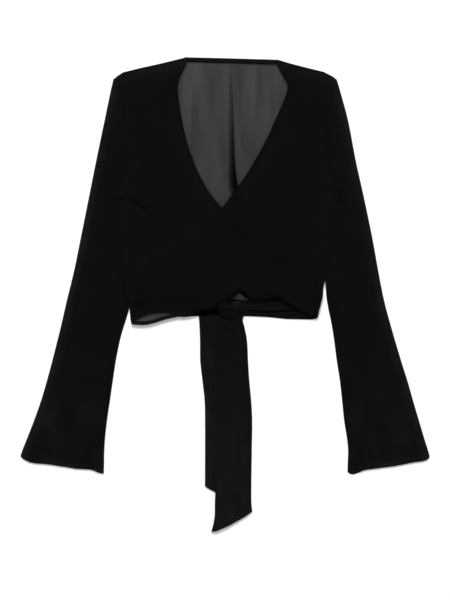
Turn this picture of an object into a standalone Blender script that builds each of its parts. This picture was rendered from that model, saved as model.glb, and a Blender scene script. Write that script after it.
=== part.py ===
"""A cropped wrap top in sheer black cloth, laid flat on its back on a table.

Left and right are the wearer's: the right sleeve lies at -X. The neck is at +Y and the
table at Z = 0. All lengths are in millimetres, measured from the middle of the hem, and
become metres where a mesh is made. Each cloth is drawn as a sheet through the middle of
its wall, and Solidify gives it the wall.
"""

import math
from bisect import bisect_right

import bmesh
import bpy
from mathutils import Vector

MM = 0.001

WALL = 1.0  # thickness of each cloth
GAP = 0.3  # air between two pieces
SEAM_MATCH = 0.1  # how far a sleeve stands off the seam line, for the chords of its curve
LAYER = WALL + GAP  # rise from one cloth to the one that lies on it
FOLD_RADIUS = LAYER / 2  # of the middle of a cloth folded back on itself
HOLD = 12.0  # how far a cloth stays up past the edge of what is under it
EASE = 14.0  # run over which it then comes down, or a fold dies away

ROWS_BODY = 26
COLUMNS_BACK = 20
COLUMNS_FRONT = 17
ROWS_BELOW_SEAM = 14  # of a sleeve, past the stretch that it shares with the body
COLUMNS_SLEEVE = 7
ROWS_TAIL = 20
COLUMNS_TAIL = 6

# Outlines, each row a point (x, y). They run from the neck down, or from -X to +X.
SHOULDER_RIGHT = [(-177, 399), (-168, 405), (-140, 412), (-108, 419), (-63, 430)]
SHOULDER_LEFT = [(86, 426), (110, 419), (137, 412), (162, 406), (178, 398)]
NECK_BACK = [(-63, 430), (0, 428.5), (86, 426)]

# The armhole seam, the armpit, and the side seam that the sleeve lies against.
ARMHOLE_RIGHT = [(-177, 399), (-172, 373), (-166, 341), (-163, 302), (-164, 261), (-170, 226)]
ARMHOLE_LEFT = [(178, 398), (172, 370), (167, 340), (165, 300), (169, 261), (178, 226)]
SIDE_RIGHT = [(-176, 201), (-173, 152), (-169, 99), (-165, 63), (-162, 35), (-158, 17)]
SIDE_LEFT = [(185, 201), (183.5, 178), (180, 152), (175.5, 120), (171.5, 92), (167.5, 72), (164, 60)]
SIDE_RIGHT_FREE = [(-157, 5), (-152, -10)]
SIDE_LEFT_FREE = [(161, 46), (158, 30), (154, 10), (150, -1)]

# The crossing neck edges, from each shoulder down past the vertex of the V to the far side.
NECK_OVER = [
    (-63, 430), (-64, 419), (-73, 401), (-78, 380), (-75, 351), (-67, 308), (-54, 264),
    (-38, 228), (-21, 201), (-5, 182), (25, 153), (54, 129), (84, 107), (116, 88),
    (140, 64), (151, 36), (148, 1),
]
NECK_UNDER = [
    (86, 426), (85, 419), (95, 401), (103, 383), (98, 361), (86, 334), (70, 298), (50, 261),
    (26, 223), (-5, 182), (-41, 142), (-68, 122), (-99, 108), (-120, 98), (-134, 76),
    (-146, 46), (-152, 15),
]

# The front hem rises to a notch above the knot and dips again where the tie comes out.
HEM_FRONT = [
    (-154, 3), (-124, 7), (-87, 9), (-58, 11), (-33, 16), (-7, 28), (7, 36), (21, 46),
    (33, 40), (45, 30), (66, 30), (84, 35), (107, 21), (129, 9), (148, 1),
]
HEM_BACK = [(-152, -10), (-126, -10), (-92, 0), (-60, 3), (-33, 5), (30, 5), (87, 1), (150, -1)]
HEM_TUCK = 12.0  # how far the under front's hem stays above the over front's

# The sleeves' outer and inner edges and cuffs.
OUTER_RIGHT = [
    (-184, 395), (-190, 373), (-198, 333), (-209, 280), (-225, 201), (-241, 122),
    (-258, 43), (-276, -30), (-296, -109), (-319, -175), (-334, -214), (-338, -228),
]
OUTER_LEFT = [
    (186, 392), (191, 370), (200, 333), (212, 280), (228, 201), (244, 122), (259, 43),
    (278, -30), (302, -109), (321, -175), (333, -214), (337, -228),
]
INNER_RIGHT = [
    (-163, 3), (-172, -30), (-181, -69), (-189, -122), (-195, -162), (-199, -205), (-200, -254),
]
INNER_LEFT = [
    (167, 30), (172, 3), (178, -30), (186, -82), (192, -135), (199, -188), (202, -228), (207, -257),
]
CUFF_RIGHT = [(-338, -228), (-321, -238), (-289, -241), (-248, -247), (-216, -251), (-200, -254)]
CUFF_LEFT = [(337, -228), (331, -234), (309, -238), (276, -244), (248, -248), (228, -252), (207, -257)]

# The tie: a gathered band across the waist, and two free ends.
BAND_TOP = [(-33, 25), (-5, 31), (25, 29), (51, 32), (68, 35), (84, 40), (111, 25), (146, 5)]
BAND_BOTTOM = [(-33, 17), (-5, 15), (12, 13), (30, 6), (52, 4), (87, 1), (117, 0), (146, -1)]
LONG_LEFT = [(-20, 11), (-19, -90), (-17, -292), (-19, -322), (-23, -353)]
LONG_RIGHT = [(29, 3), (34, -30), (38, -75), (42, -122), (44, -188), (43, -318)]
LONG_END = [(-23, -353), (10, -340), (43, -318)]
SHORT_LEFT = [(-44, 6), (-42, -69), (-37, -109), (-34, -148), (-34, -277)]
SHORT_RIGHT = [(-13, 12), (-10, -69), (-5, -148), (-4, -292)]
SHORT_END = [(-34, -277), (-27, -283), (-4, -292)]
TAIL_DROP = (2.0, -16.0)  # the tails come down off the hem between these two heights

KNOT_CENTRE = (20.0, 10.5)
KNOT_SIZE = (22.0, 30.0, 5.5)
KNOT_FLOOR = 4.2
KNOT_GROOVE = 0.7

# The back's centre fold: where it runs, how high it stands, and its two flanks.
CENTRE_FOLD = [  # y, x, height, soft flank, sharp flank
    (400, 8, 0.0, 9, 7),
    (330, 9, 0.8, 11, 7),
    (277, 10, 1.6, 13, 8),
    (247, 12, 2.4, 15, 8),
    (218, 17, 2.8, 17, 9),
    (196, 20, 1.0, 18, 10),
    (176, 22, 0.0, 20, 12),
]
COVER_SPREAD = 1.7  # how much wider than the fold the cloths that lie over it rise
COVER_RISE = 1.3  # and how much higher

# The largest folds of the upper cloths: each a ridge from one point to another.
FOLDS = [  # x0, y0, x1, y1, height, half width
    (-196, 214, -150, 190, 2.4, 11),
    (-158, 196, -112, 172, 1.8, 11),
    (-172, 140, -166, 60, 1.4, 9),
    (206, 214, 222, 160, 1.6, 12),
    (40, 143, 110, 134, 1.8, 10),
    (100, 134, 172, 144, 2.0, 11),
    (92, 96, 132, 101, 1.8, 10),
    (122, 101, 176, 134, 2.2, 11),
    (-140, 380, -120, 300, 1.2, 14),
    (146, 372, 128, 296, 1.2, 14),
    (-228, 122, -262, -40, 1.4, 10),
    (-231, -72, -304, -196, 2.8, 15),
    (-214, -120, -226, -238, 1.8, 14),
    (236, 96, 262, -30, 1.6, 12),
    (203, -70, 216, -148, 2.0, 10),
    (262, -110, 292, -232, 2.0, 16),
]


def blend(a, b, share):
    return tuple(p + (q - p) * share for p, q in zip(a, b))


def smoothstep(value):
    value = min(max(value, 0.0), 1.0)
    return value * value * (3.0 - 2.0 * value)


def marks_along(points):
    """How far along the line each of its points is."""
    marks = [0.0]
    for a, b in zip(points, points[1:]):
        marks.append(marks[-1] + math.dist(a, b))
    return marks


def curve(points):
    """A function from a share, 0 to 1, to the point that far along a smooth line."""
    marks = marks_along(points)
    last = len(points) - 1

    def slope(i):
        before, after = max(i - 1, 0), min(i + 1, last)
        run = marks[after] - marks[before]
        return tuple((q - p) / run for p, q in zip(points[before], points[after]))

    def at(share):
        wanted = min(max(share, 0.0), 1.0) * marks[-1]
        i = min(bisect_right(marks, wanted) - 1, last - 1)
        run = marks[i + 1] - marks[i]
        t = (wanted - marks[i]) / run
        keep, pull_a = 2 * t**3 - 3 * t**2 + 1, (t**3 - 2 * t**2 + t) * run
        take, pull_b = 3 * t**2 - 2 * t**3, (t**3 - t**2) * run
        return tuple(
            keep * a + pull_a * m + take * b + pull_b * n
            for a, b, m, n in zip(points[i], points[i + 1], slope(i), slope(i + 1))
        )

    return at


def straight(points):
    """A function from a share of the width to the point there on a line with corners."""
    span = points[-1][0] - points[0][0]
    shares = [(x - points[0][0]) / span for x, _ in points]

    def at(share):
        i = min(max(bisect_right(shares, share) - 1, 0), len(points) - 2)
        run = shares[i + 1] - shares[i]
        return blend(points[i], points[i + 1], (share - shares[i]) / run)

    return at


def table(rows, y):
    """The other columns of the row at height y, read between the rows of a table."""
    if y >= rows[0][0]:
        return rows[0][1:]
    for upper, lower in zip(rows, rows[1:]):
        if y >= lower[0]:
            return blend(upper[1:], lower[1:], (upper[0] - y) / (upper[0] - lower[0]))
    return rows[-1][1:]


def moved(points, dx=0.0, dy=0.0):
    return [(x + dx, y + dy) for x, y in points]


def spread(left, right, top, bottom, pull=4):
    """A function from shares across and down to a point between four edges.

    The rows are straight from the left edge to the right one, and near the top and
    the bottom they take on the form of those edges.
    """

    def bow(edge, across):
        level = blend(edge(0.0), edge(1.0), across)
        return tuple(p - q for p, q in zip(edge(across), level))

    def at(across, down):
        x, y = blend(left(down), right(down), across)
        high, low = bow(top, across), bow(bottom, across)
        near_top, near_bottom = (1.0 - down) ** pull, down**pull
        return (
            x + high[0] * near_top + low[0] * near_bottom,
            y + high[1] * near_top + low[1] * near_bottom,
        )

    return at


def inside(edge, x, y):
    """The distance from a point to an edge that runs down: above 0 on its +X side."""
    best, side = math.inf, 1.0
    for (x0, y0), (x1, y1) in zip(edge, edge[1:]):
        dx, dy = x1 - x0, y1 - y0
        t = min(max(((x - x0) * dx + (y - y0) * dy) / (dx * dx + dy * dy), 0.0), 1.0)
        away = math.hypot(x - x0 - t * dx, y - y0 - t * dy)
        if away < best:
            best = away
            side = 1.0 if dx * (y - y0) - dy * (x - x0) > 0 else -1.0
    return best * side


def level(number):
    """The height of the middle of the wall, with this many cloths under it."""
    return WALL / 2 + number * LAYER


def centre_fold(x, y, wider=1.0):
    middle, height, soft, sharp = table(CENTRE_FOLD, y)
    flank = wider * (soft if x < middle else sharp)
    return height * math.exp(-(((x - middle) / flank) ** 2))


def folds(x, y):
    """How far the folds of the upper cloths raise them here."""
    rise = 0.0
    for x0, y0, x1, y1, height, half in FOLDS:
        dx, dy = x1 - x0, y1 - y0
        length = math.hypot(dx, dy)
        along = ((x - x0) * dx + (y - y0) * dy) / length**2
        aside = ((x - x0) * dy - (y - y0) * dx) / length
        if -0.2 < along < 1.2 and abs(aside) < 3 * half:
            taper = smoothstep((along + 0.2) / 0.5) * smoothstep((1.2 - along) / 0.5)
            rise = max(rise, height * taper * math.exp(-((aside / half) ** 2)))
    return rise


def on_back(x, y):
    """The height of a cloth that lies on the back panel, clear of its centre fold."""
    return level(1) + COVER_RISE * centre_fold(x, y, COVER_SPREAD)


def under_height(x, y):
    bare = smoothstep((inside(NECK_OVER, x, y) - HOLD) / EASE)
    return on_back(x, y) + folds(x, y) * bare


def over_height(x, y):
    raised = smoothstep((inside(NECK_UNDER, x, y) + HOLD + EASE) / EASE)
    return on_back(x, y) + folds(x, y) + LAYER * raised


def cloth(name, mesh, material):
    """An object with its wall, made from a sheet given in millimetres."""
    for vertex in mesh.verts:
        vertex.co *= MM
    bmesh.ops.recalc_face_normals(mesh, faces=mesh.faces)
    data = bpy.data.meshes.new(name)
    mesh.to_mesh(data)
    mesh.free()
    data.shade_smooth()
    data.materials.append(material)
    made = bpy.data.objects.new(name, data)
    bpy.context.scene.collection.objects.link(made)
    made.parent = bpy.data.objects["garment"]
    if name != "tie_knot":
        wall = made.modifiers.new("wall", "SOLIDIFY")
        wall.thickness = WALL * MM
        wall.offset = 0.0
    return made


def grid(rows, columns):
    """A flat grid, and for each vertex its shares across and down."""
    mesh = bmesh.new()
    bmesh.ops.create_grid(mesh, x_segments=columns, y_segments=rows, size=0.5)
    return mesh, [(v, v.co.x + 0.5, 0.5 - v.co.y) for v in mesh.verts]


def to_middle(across):
    """The share across a panel whose columns stand closer at its middle."""
    off = across - 0.5
    return 0.5 + off * (0.55 + 0.9 * abs(off))


def panel(name, place, rows, columns, height, material, spacing=lambda across: across):
    """One flat piece of cloth."""
    mesh, shares = grid(rows, columns)
    for vertex, across, down in shares:
        x, y = place(spacing(across), down)
        vertex.co = (x, y, height(x, y))
    return cloth(name, mesh, material)


def folded(name, place, stations, columns, low, high, open_rows, material):
    """Cloth folded at its first edge, and from the row open_rows on joined at the other.

    The grid goes round the fold: the under layer to the fold, then the upper layer
    back. The stations are the shares down at which its rows lie.
    """
    around, rows = 2 * columns + 4, len(stations) - 1
    mesh, shares = grid(rows, around)
    for vertex, turn, row_share in shares:
        step, row = round(turn * around), round(row_share * rows)
        down = stations[row]
        upper = step > columns + 2
        if step in (0, around):
            from_fold = 1.0
        elif step == columns + 2:
            from_fold = 0.0
        elif upper:
            from_fold = (step - columns - 3) / columns
        else:
            from_fold = (columns + 1 - step) / columns
        x, y = place(from_fold, down)
        bottom, top = low(x, y), high(x, y)
        z = top if upper else bottom
        joined = row >= open_rows
        at_fold = step == columns + 2
        at_seam = step in (0, around)
        inward = math.copysign(1.0, place(0.5, down)[0] - x)
        if at_fold or (at_seam and joined):
            z = (top + bottom) / 2
            x += inward * WALL / 2
        elif from_fold == 0.0 or (from_fold == 1.0 and joined):
            x += inward * (WALL / 2 + FOLD_RADIUS)
        elif from_fold == 1.0 and (row == open_rows - 1 or not at_seam):
            x += inward * FOLD_RADIUS
        vertex.co = (x, y, z)
    seam = [vertex for vertex, turn, _ in shares if round(turn * around) in (0, around)]
    bmesh.ops.remove_doubles(mesh, verts=seam, dist=FOLD_RADIUS / 10)
    return cloth(name, mesh, material)


def sleeve(name, armhole, side, free, inner, outer, cuff, inward, material):
    """A flared tube pressed flat, open along the armhole and at the cuff.

    Where it lies against the body its rows meet the body's, so that the two edges match.
    """
    seam = moved(armhole + side, dx=-inward * SEAM_MATCH)
    inner_edge = curve(seam + inner)
    outer_edge = curve(outer)
    top = straight([outer[0], armhole[0]])
    bottom = straight(cuff)
    place = spread(outer_edge, inner_edge, top, bottom, pull=8)
    whole = marks_along(seam + inner)[-1]
    step = marks_along(armhole + side + free)[-1] / ROWS_BODY / whole
    shared = int(marks_along(seam)[-1] / whole / step)
    rest = (1.0 - shared * step) / ROWS_BELOW_SEAM
    stations = [step * row for row in range(shared)]
    stations += [shared * step + rest * row for row in range(ROWS_BELOW_SEAM + 1)]
    armpit = side[0][1]
    open_rows = min(row for row, at in enumerate(stations) if inner_edge(at)[1] <= armpit)

    def high(x, y):
        return level(1) + folds(x, y)

    folded(
        name, place, stations, COLUMNS_SLEEVE, lambda x, y: level(0), high, open_rows, material
    )


def body_edges(free_right, free_left):
    """The two side edges of a body panel, a seam's gap in from the sleeves."""
    right = moved(ARMHOLE_RIGHT + SIDE_RIGHT + free_right, dx=GAP)
    left = moved(ARMHOLE_LEFT + SIDE_LEFT + free_left, dx=-GAP)
    return curve(right), curve(left)


def back_panel(material):
    right, left = body_edges(SIDE_RIGHT_FREE, SIDE_LEFT_FREE)
    top = straight(SHOULDER_RIGHT + NECK_BACK[1:] + SHOULDER_LEFT[1:])
    place = spread(right, left, top, straight(HEM_BACK))
    panel(
        "back_panel", place, ROWS_BODY, COLUMNS_BACK,
        lambda x, y: level(0) + centre_fold(x, y), material, to_middle,
    )


def fronts(material):
    right, left = body_edges([(-155, 3)], SIDE_LEFT_FREE[:-1])
    over = spread(right, curve(NECK_OVER), straight(SHOULDER_RIGHT), straight(HEM_FRONT))
    panel("front_over_right", over, ROWS_BODY, COLUMNS_FRONT, over_height, material)
    hem = [(-152, 15)] + moved(HEM_FRONT[1:-1], dy=HEM_TUCK) + [(154, 12)]
    under = spread(curve(NECK_UNDER), left, straight(SHOULDER_LEFT), straight(hem))
    panel("front_under_left", under, ROWS_BODY, COLUMNS_FRONT, under_height, material)


def neck_binding(material):
    depth, clear = 8.0, 0.5
    top = [(-63 + clear, 430), (0, 428.5), (86 - clear, 426)]
    bottom = [(-64 + clear, 430 - depth), (0, 428.5 - depth), (85 - clear, 426 - depth)]
    place = spread(
        curve([top[0], bottom[0]]), curve([top[-1], bottom[-1]]),
        straight(top), straight(bottom), pull=1,
    )
    panel("neck_binding_back", place, 2, 14, lambda x, y: level(1), material)


def tie_band(material):
    """The tie as it crosses the waist, gathered into two soft ridges."""
    top, bottom = straight(BAND_TOP), straight(BAND_BOTTOM)
    clear_of_hem, ridge = 7.0, 1.3

    def height(x, y):
        share = (x - BAND_TOP[0][0]) / (BAND_TOP[-1][0] - BAND_TOP[0][0])
        upper, lower = top(share)[1], bottom(share)[1]
        free = upper - clear_of_hem - lower
        down = (upper - clear_of_hem - y) / max(free, 1.0)
        if not 0.0 < down < 1.0:
            return level(1)
        return level(1) + ridge * math.sin(2 * math.pi * down) ** 2 * min(free / 18.0, 1.0)

    place = spread(
        curve([BAND_TOP[0], BAND_BOTTOM[0]]), curve([BAND_TOP[-1], BAND_BOTTOM[-1]]),
        top, bottom, pull=1,
    )
    panel("tie_waist", place, 8, 20, height, material)


def tail_rise(y):
    """The extra height of a tail where it still lies on the back's hem."""
    start, end = TAIL_DROP
    return LAYER * smoothstep((y - end) / (start - end))


def tie_tails(material):
    short = spread(
        curve(SHORT_LEFT), curve(SHORT_RIGHT),
        straight([SHORT_LEFT[0], SHORT_RIGHT[0]]), straight(SHORT_END),
    )
    stations = [row / ROWS_TAIL for row in range(ROWS_TAIL + 1)]
    folded(
        "tie_tail_short", short, stations, 3,
        lambda x, y: level(0) + tail_rise(y), lambda x, y: level(1) + tail_rise(y),
        len(stations), material,
    )
    short_end = SHORT_END[-1][1]

    def long_height(x, y):
        past = max(x - SHORT_RIGHT[-1][0] - HOLD / 2, short_end - HOLD - y)
        over_short = 2 * LAYER * (1.0 - smoothstep(past / EASE))
        return level(0) + tail_rise(y) + over_short

    long = spread(
        curve(LONG_LEFT), curve(LONG_RIGHT),
        straight([LONG_LEFT[0], LONG_RIGHT[0]]), straight(LONG_END),
    )
    panel("tie_tail_long", long, ROWS_TAIL, COLUMNS_TAIL, long_height, material)


def tie_knot(material):
    """A small pad of wrapped cloth: a sphere pressed to size, grooved along its turns."""
    mesh = bmesh.new()
    bmesh.ops.create_uvsphere(mesh, u_segments=20, v_segments=12, radius=1.0)
    wide, long, tall = KNOT_SIZE
    for vertex in mesh.verts:
        x, y, z = vertex.co
        box = 1.0 / max(abs(x), abs(y), 0.75)
        waist = 1.0 - 0.22 * (1.0 - y * y)
        groove = KNOT_GROOVE * math.cos(3 * math.pi * x) * max(z, 0.0)
        vertex.co = (
            KNOT_CENTRE[0] + x * waist * wide / 2 * math.sqrt(box),
            KNOT_CENTRE[1] + y * long / 2 * math.sqrt(box),
            KNOT_FLOOR + max(z + 0.35, 0.0) / 1.35 * (tall - KNOT_GROOVE) + groove,
        )
    cloth("tie_knot", mesh, material)


def black_cloth():
    made = bpy.data.materials.new("sheer_black_cloth")
    made.use_nodes = True
    shader = made.node_tree.nodes["Principled BSDF"]
    shader.inputs["Base Color"].default_value = (0.006, 0.007, 0.0065, 1.0)
    shader.inputs["Roughness"].default_value = 0.85
    shader.inputs["Metallic"].default_value = 0.0
    return made


def rest_on_origin(holder):
    """Moves the garment so that the middle of its underside's box is the origin."""
    bpy.context.view_layer.update()
    graph = bpy.context.evaluated_depsgraph_get()
    corners = [
        child.matrix_world @ Vector(corner)
        for child in holder.children
        for corner in child.evaluated_get(graph).bound_box
    ]
    low = [min(corner[axis] for corner in corners) for axis in range(3)]
    high = [max(corner[axis] for corner in corners) for axis in range(3)]
    holder.location = (-(low[0] + high[0]) / 2, -(low[1] + high[1]) / 2, -low[2])


def main():
    for old in list(bpy.data.objects):
        bpy.data.objects.remove(old)
    garment = bpy.data.objects.new("garment", None)
    bpy.context.scene.collection.objects.link(garment)
    material = black_cloth()

    back_panel(material)
    fronts(material)
    sleeve(
        "sleeve_right", ARMHOLE_RIGHT, SIDE_RIGHT, SIDE_RIGHT_FREE,
        INNER_RIGHT, OUTER_RIGHT, CUFF_RIGHT, 1.0, material,
    )
    sleeve(
        "sleeve_left", ARMHOLE_LEFT, SIDE_LEFT, SIDE_LEFT_FREE,
        INNER_LEFT, OUTER_LEFT, CUFF_LEFT, -1.0, material,
    )
    neck_binding(material)
    tie_band(material)
    tie_tails(material)
    tie_knot(material)
    rest_on_origin(garment)


main()
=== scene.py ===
# %% [markdown]
# A cropped wrap top, laid flat on its back.
#
# This lesson dresses a rigid model of a sheer black blouse. The rigid model has the garment's true
# outline, but its cloth is a plain wall one millimetre thick. Here every panel becomes a thin shell
# with soft creases, hems and seams, in a cloth that lets a little light through.
# The rigid model is loaded first, and nothing in it is moved.

# %% Load the rigid model
import math
from bisect import bisect_right

import bmesh
import bpy
from mathutils import Matrix, Vector, noise


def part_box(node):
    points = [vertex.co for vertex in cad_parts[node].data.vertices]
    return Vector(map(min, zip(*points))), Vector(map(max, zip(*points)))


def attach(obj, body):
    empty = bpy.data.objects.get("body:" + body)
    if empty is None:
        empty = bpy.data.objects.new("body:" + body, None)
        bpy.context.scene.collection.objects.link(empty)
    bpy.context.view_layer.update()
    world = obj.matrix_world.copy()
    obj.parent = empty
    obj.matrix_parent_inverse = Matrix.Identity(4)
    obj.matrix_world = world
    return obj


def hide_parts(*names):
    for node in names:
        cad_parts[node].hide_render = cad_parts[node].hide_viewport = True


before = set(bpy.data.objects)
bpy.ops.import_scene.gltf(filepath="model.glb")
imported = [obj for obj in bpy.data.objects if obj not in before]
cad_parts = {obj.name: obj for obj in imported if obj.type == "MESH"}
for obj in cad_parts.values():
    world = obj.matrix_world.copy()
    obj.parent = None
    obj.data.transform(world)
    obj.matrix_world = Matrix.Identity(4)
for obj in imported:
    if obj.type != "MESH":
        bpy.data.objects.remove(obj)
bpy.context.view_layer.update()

# %% [markdown]
# A pattern cutter measures a blouse from one point. Ours is the middle of the hem: +X runs to the
# wearer's left, +Y up to the neck, and Z up from the table, all in millimetres. The rigid model has
# its own origin under its middle, so we read the shift between the two from the model itself: the
# back panel ends at the neck, and the neck binding lies evenly about a known middle.

# %% From the hem's middle to the model's origin
MM = 0.001
NECK_TOP = 430.0
BINDING_MIDDLE = 11.5
back_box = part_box("back_panel")
binding_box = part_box("neck_binding_back")
shift_x = (binding_box[0][0] + binding_box[1][0]) / 2 / MM - BINDING_MIDDLE
shift_y = back_box[1][1] / MM - NECK_TOP
print("shift, millimetres:", round(shift_x, 2), round(shift_y, 2))

# %% [markdown]
# The camera comes early, because it decides how fine the rest must be. It hangs straight above the
# table and sees a field 990 mm long, so with a long lens the cloth shows almost no perspective.

# %% Camera
LENS, SENSOR = 85.0, 36.0
FIELD_LONG = 990.0
FIELD_CENTRE = (0.0, 29.7)

camera_data = bpy.data.cameras.new("camera")
camera_data.lens, camera_data.sensor_width = LENS, SENSOR
camera = bpy.data.objects.new("camera", camera_data)
camera.location = (
    (FIELD_CENTRE[0] + shift_x) * MM,
    (FIELD_CENTRE[1] + shift_y) * MM,
    FIELD_LONG * LENS / SENSOR * MM,
)
bpy.context.scene.collection.objects.link(camera)
bpy.context.scene.camera = camera
bpy.context.scene.view_settings.view_transform = "Standard"
print("camera height:", round(camera.location.z, 3), "m")

# %% [markdown]
# The table is a plain white sheet. The sky lights it evenly, and one broad lamp beyond the neck adds
# the short soft shadows below the hems. A sheer cloth looks grey because of what lies behind it, so
# the table must be bright enough to be white, and no brighter.

# %% Table and light
TABLE_SIZE = 8.0
SKY_STRENGTH = 0.60
LAMP_PLACE, LAMP_SIZE, LAMP_WATTS = Vector((-0.7, 7.2, 4.7)), 3.0, 880.0


def plain_material(name, colour, roughness, specular):
    made = bpy.data.materials.new(name)
    made.use_nodes = True
    shader = made.node_tree.nodes["Principled BSDF"]
    shader.inputs["Base Color"].default_value = (*colour, 1.0)
    shader.inputs["Roughness"].default_value = roughness
    shader.inputs["Specular IOR Level"].default_value = specular
    return made


def paper_material():
    """White paper: a fine tooth in its surface keeps it from looking like plastic."""
    made = plain_material("table_paper", (0.925, 0.945, 0.94), 0.9, 0.1)
    nodes, links = made.node_tree.nodes, made.node_tree.links
    place = nodes.new("ShaderNodeTexCoord")
    tooth = nodes.new("ShaderNodeTexNoise")
    tooth.inputs["Scale"].default_value = 900.0
    bump = nodes.new("ShaderNodeBump")
    bump.inputs["Strength"].default_value = 0.05
    bump.inputs["Distance"].default_value = 0.0001
    links.new(place.outputs["Object"], tooth.inputs["Vector"])
    links.new(tooth.outputs["Fac"], bump.inputs["Height"])
    links.new(bump.outputs["Normal"], nodes["Principled BSDF"].inputs["Normal"])
    return made


table_mesh = bmesh.new()
bmesh.ops.create_grid(table_mesh, x_segments=1, y_segments=1, size=TABLE_SIZE / 2)
table_data = bpy.data.meshes.new("table_top")
table_mesh.to_mesh(table_data)
table_mesh.free()
table_data.materials.append(paper_material())
table_top = bpy.data.objects.new("table_top", table_data)
bpy.context.scene.collection.objects.link(table_top)

world = bpy.data.worlds.new("studio")
world.use_nodes = True
world.node_tree.nodes["Background"].inputs["Color"].default_value = (1.0, 1.0, 1.0, 1.0)
world.node_tree.nodes["Background"].inputs["Strength"].default_value = SKY_STRENGTH
bpy.context.scene.world = world

lamp_data = bpy.data.lights.new("lamp", "AREA")
lamp_data.shape = "DISK"
lamp_data.size, lamp_data.energy = LAMP_SIZE, LAMP_WATTS
lamp = bpy.data.objects.new("lamp", lamp_data)
lamp.location = LAMP_PLACE
lamp.rotation_euler = (-LAMP_PLACE).to_track_quat("-Z", "Y").to_euler()
bpy.context.scene.collection.objects.link(lamp)
print("lamp:", LAMP_SIZE, "m wide,", round(LAMP_PLACE.length, 1), "m away")

# %% [markdown]
# The cloth is a crepe georgette: fine hard-twisted threads in a plain weave, slightly crinkled, with
# gaps between them. One node group draws it for every material. It reads the cloth's own UV map,
# which we make in metres along the grain, so a thread has the same size on a sleeve and on a tie.
# The group puts out a height for the bump, a mask of the gaps between threads, and the long slow
# change of thickness, in streaks along the warp, which real yarn always has.

# %% The weave as a node group
THREAD_PITCH = 0.00055
CREPE_SIZE = 0.0035
THREAD_WANDER = 1.6
SLUB_SIZE, SLUB_STRETCH = 0.021, 0.18


def math_node(tree, kind, first, second=None):
    """A Math node with numbers or outputs on its inputs: gives its output."""
    node = tree.nodes.new("ShaderNodeMath")
    node.operation = kind
    for socket, value in zip(node.inputs, (first, second)):
        if isinstance(value, (int, float)):
            socket.default_value = value
        elif value is not None:
            tree.links.new(value, socket)
    return node.outputs[0]


def georgette_group():
    group = bpy.data.node_groups.new("georgette_weave", "ShaderNodeTree")
    face = group.interface
    face.new_socket("Thread pitch", in_out="INPUT", socket_type="NodeSocketFloat")
    face.new_socket("Crinkle", in_out="INPUT", socket_type="NodeSocketFloat")
    for name in ("Height", "Gaps", "Slub"):
        face.new_socket(name, in_out="OUTPUT", socket_type="NodeSocketFloat")
    nodes, links = group.nodes, group.links
    entry, leave = nodes.new("NodeGroupInput"), nodes.new("NodeGroupOutput")
    grain = nodes.new("ShaderNodeUVMap")
    grain.uv_map = "grain"

    def cloud(size, detail, along=1.0):
        """Soft noise on the cloth: a size along below 1 draws it out along the warp."""
        node = nodes.new("ShaderNodeTexNoise")
        node.inputs["Scale"].default_value = 1.0 / size
        node.inputs["Detail"].default_value = detail
        longer = nodes.new("ShaderNodeVectorMath")
        longer.operation = "MULTIPLY"
        longer.inputs[1].default_value = (1.0, along, 1.0)
        links.new(grain.outputs["UV"], longer.inputs[0])
        links.new(longer.outputs[0], node.inputs["Vector"])
        return node.outputs["Fac"]

    crinkle = math_node(group, "SUBTRACT", cloud(CREPE_SIZE, 2.0), 0.5)
    split = nodes.new("ShaderNodeSeparateXYZ")
    links.new(grain.outputs["UV"], split.inputs[0])
    wander = math_node(group, "MULTIPLY", crinkle, THREAD_WANDER)
    threads = []
    for axis in ("X", "Y"):
        turns = math_node(group, "DIVIDE", split.outputs[axis], entry.outputs["Thread pitch"])
        turns = math_node(group, "MULTIPLY", turns, math.pi)
        wave = math_node(group, "SINE", math_node(group, "ADD", turns, wander))
        threads.append(math_node(group, "ABSOLUTE", wave))
    over = math_node(group, "MULTIPLY", threads[0], threads[1])
    raised = math_node(group, "MULTIPLY", crinkle, entry.outputs["Crinkle"])
    woven = math_node(group, "MULTIPLY", over, 0.25)
    links.new(math_node(group, "ADD", woven, raised), leave.inputs["Height"])
    links.new(math_node(group, "SUBTRACT", 1.0, over), leave.inputs["Gaps"])
    links.new(cloud(SLUB_SIZE, 2.5, SLUB_STRETCH), leave.inputs["Slub"])
    return group


georgette = georgette_group()
print("node group:", georgette.name, "with", len(georgette.nodes), "nodes")

# %% [markdown]
# Each shell has two faces, so light crosses the alpha twice: an alpha of about 0.5 on each face lets
# a quarter through one layer of cloth, and next to nothing through three. That is how one layer of
# the back looks grey in the neck opening while the crossed fronts look black. The back is pulled
# straight over the table, while the threads of the fronts and the sleeves lie closer and hide more.
#
# A sloping layer hides more than a flat one, because the light runs through it slantwise: a Layer
# Weight node gives the slope, and the clear share is raised to one over its cosine. So a soft fold
# draws itself as a darker line.
#
# Two attributes of the mesh tell the shader where it is. One pales the black: a painted sheen along
# the outer folds of the sleeves and on the shoulders, and a paler tone in patches, towards the cuffs
# and on the ends of the tie. The other marks the narrow slots between folds, which hardly any light
# leaves again: there the colour is painted near black as shade, and the cloth lets almost nothing
# through.

# %% Cloth materials
# The pale grey is mixed in for the painted sheen and the paler tone, the near black for painted shade.
BLACK, PALE_GREY, UNLIT = (0.0031, 0.0043, 0.0038), (0.0130, 0.0132, 0.0130), (0.0002, 0.0003, 0.0003)
SHEEN, SHEEN_ROUGHNESS, SHEEN_TINT = 0.02, 0.35, (0.8, 0.9, 0.86)
MATT_SPECULAR = 0.015
SLOT_CLEAR = 0.02
LEAST_COSINE = 0.12


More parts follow.
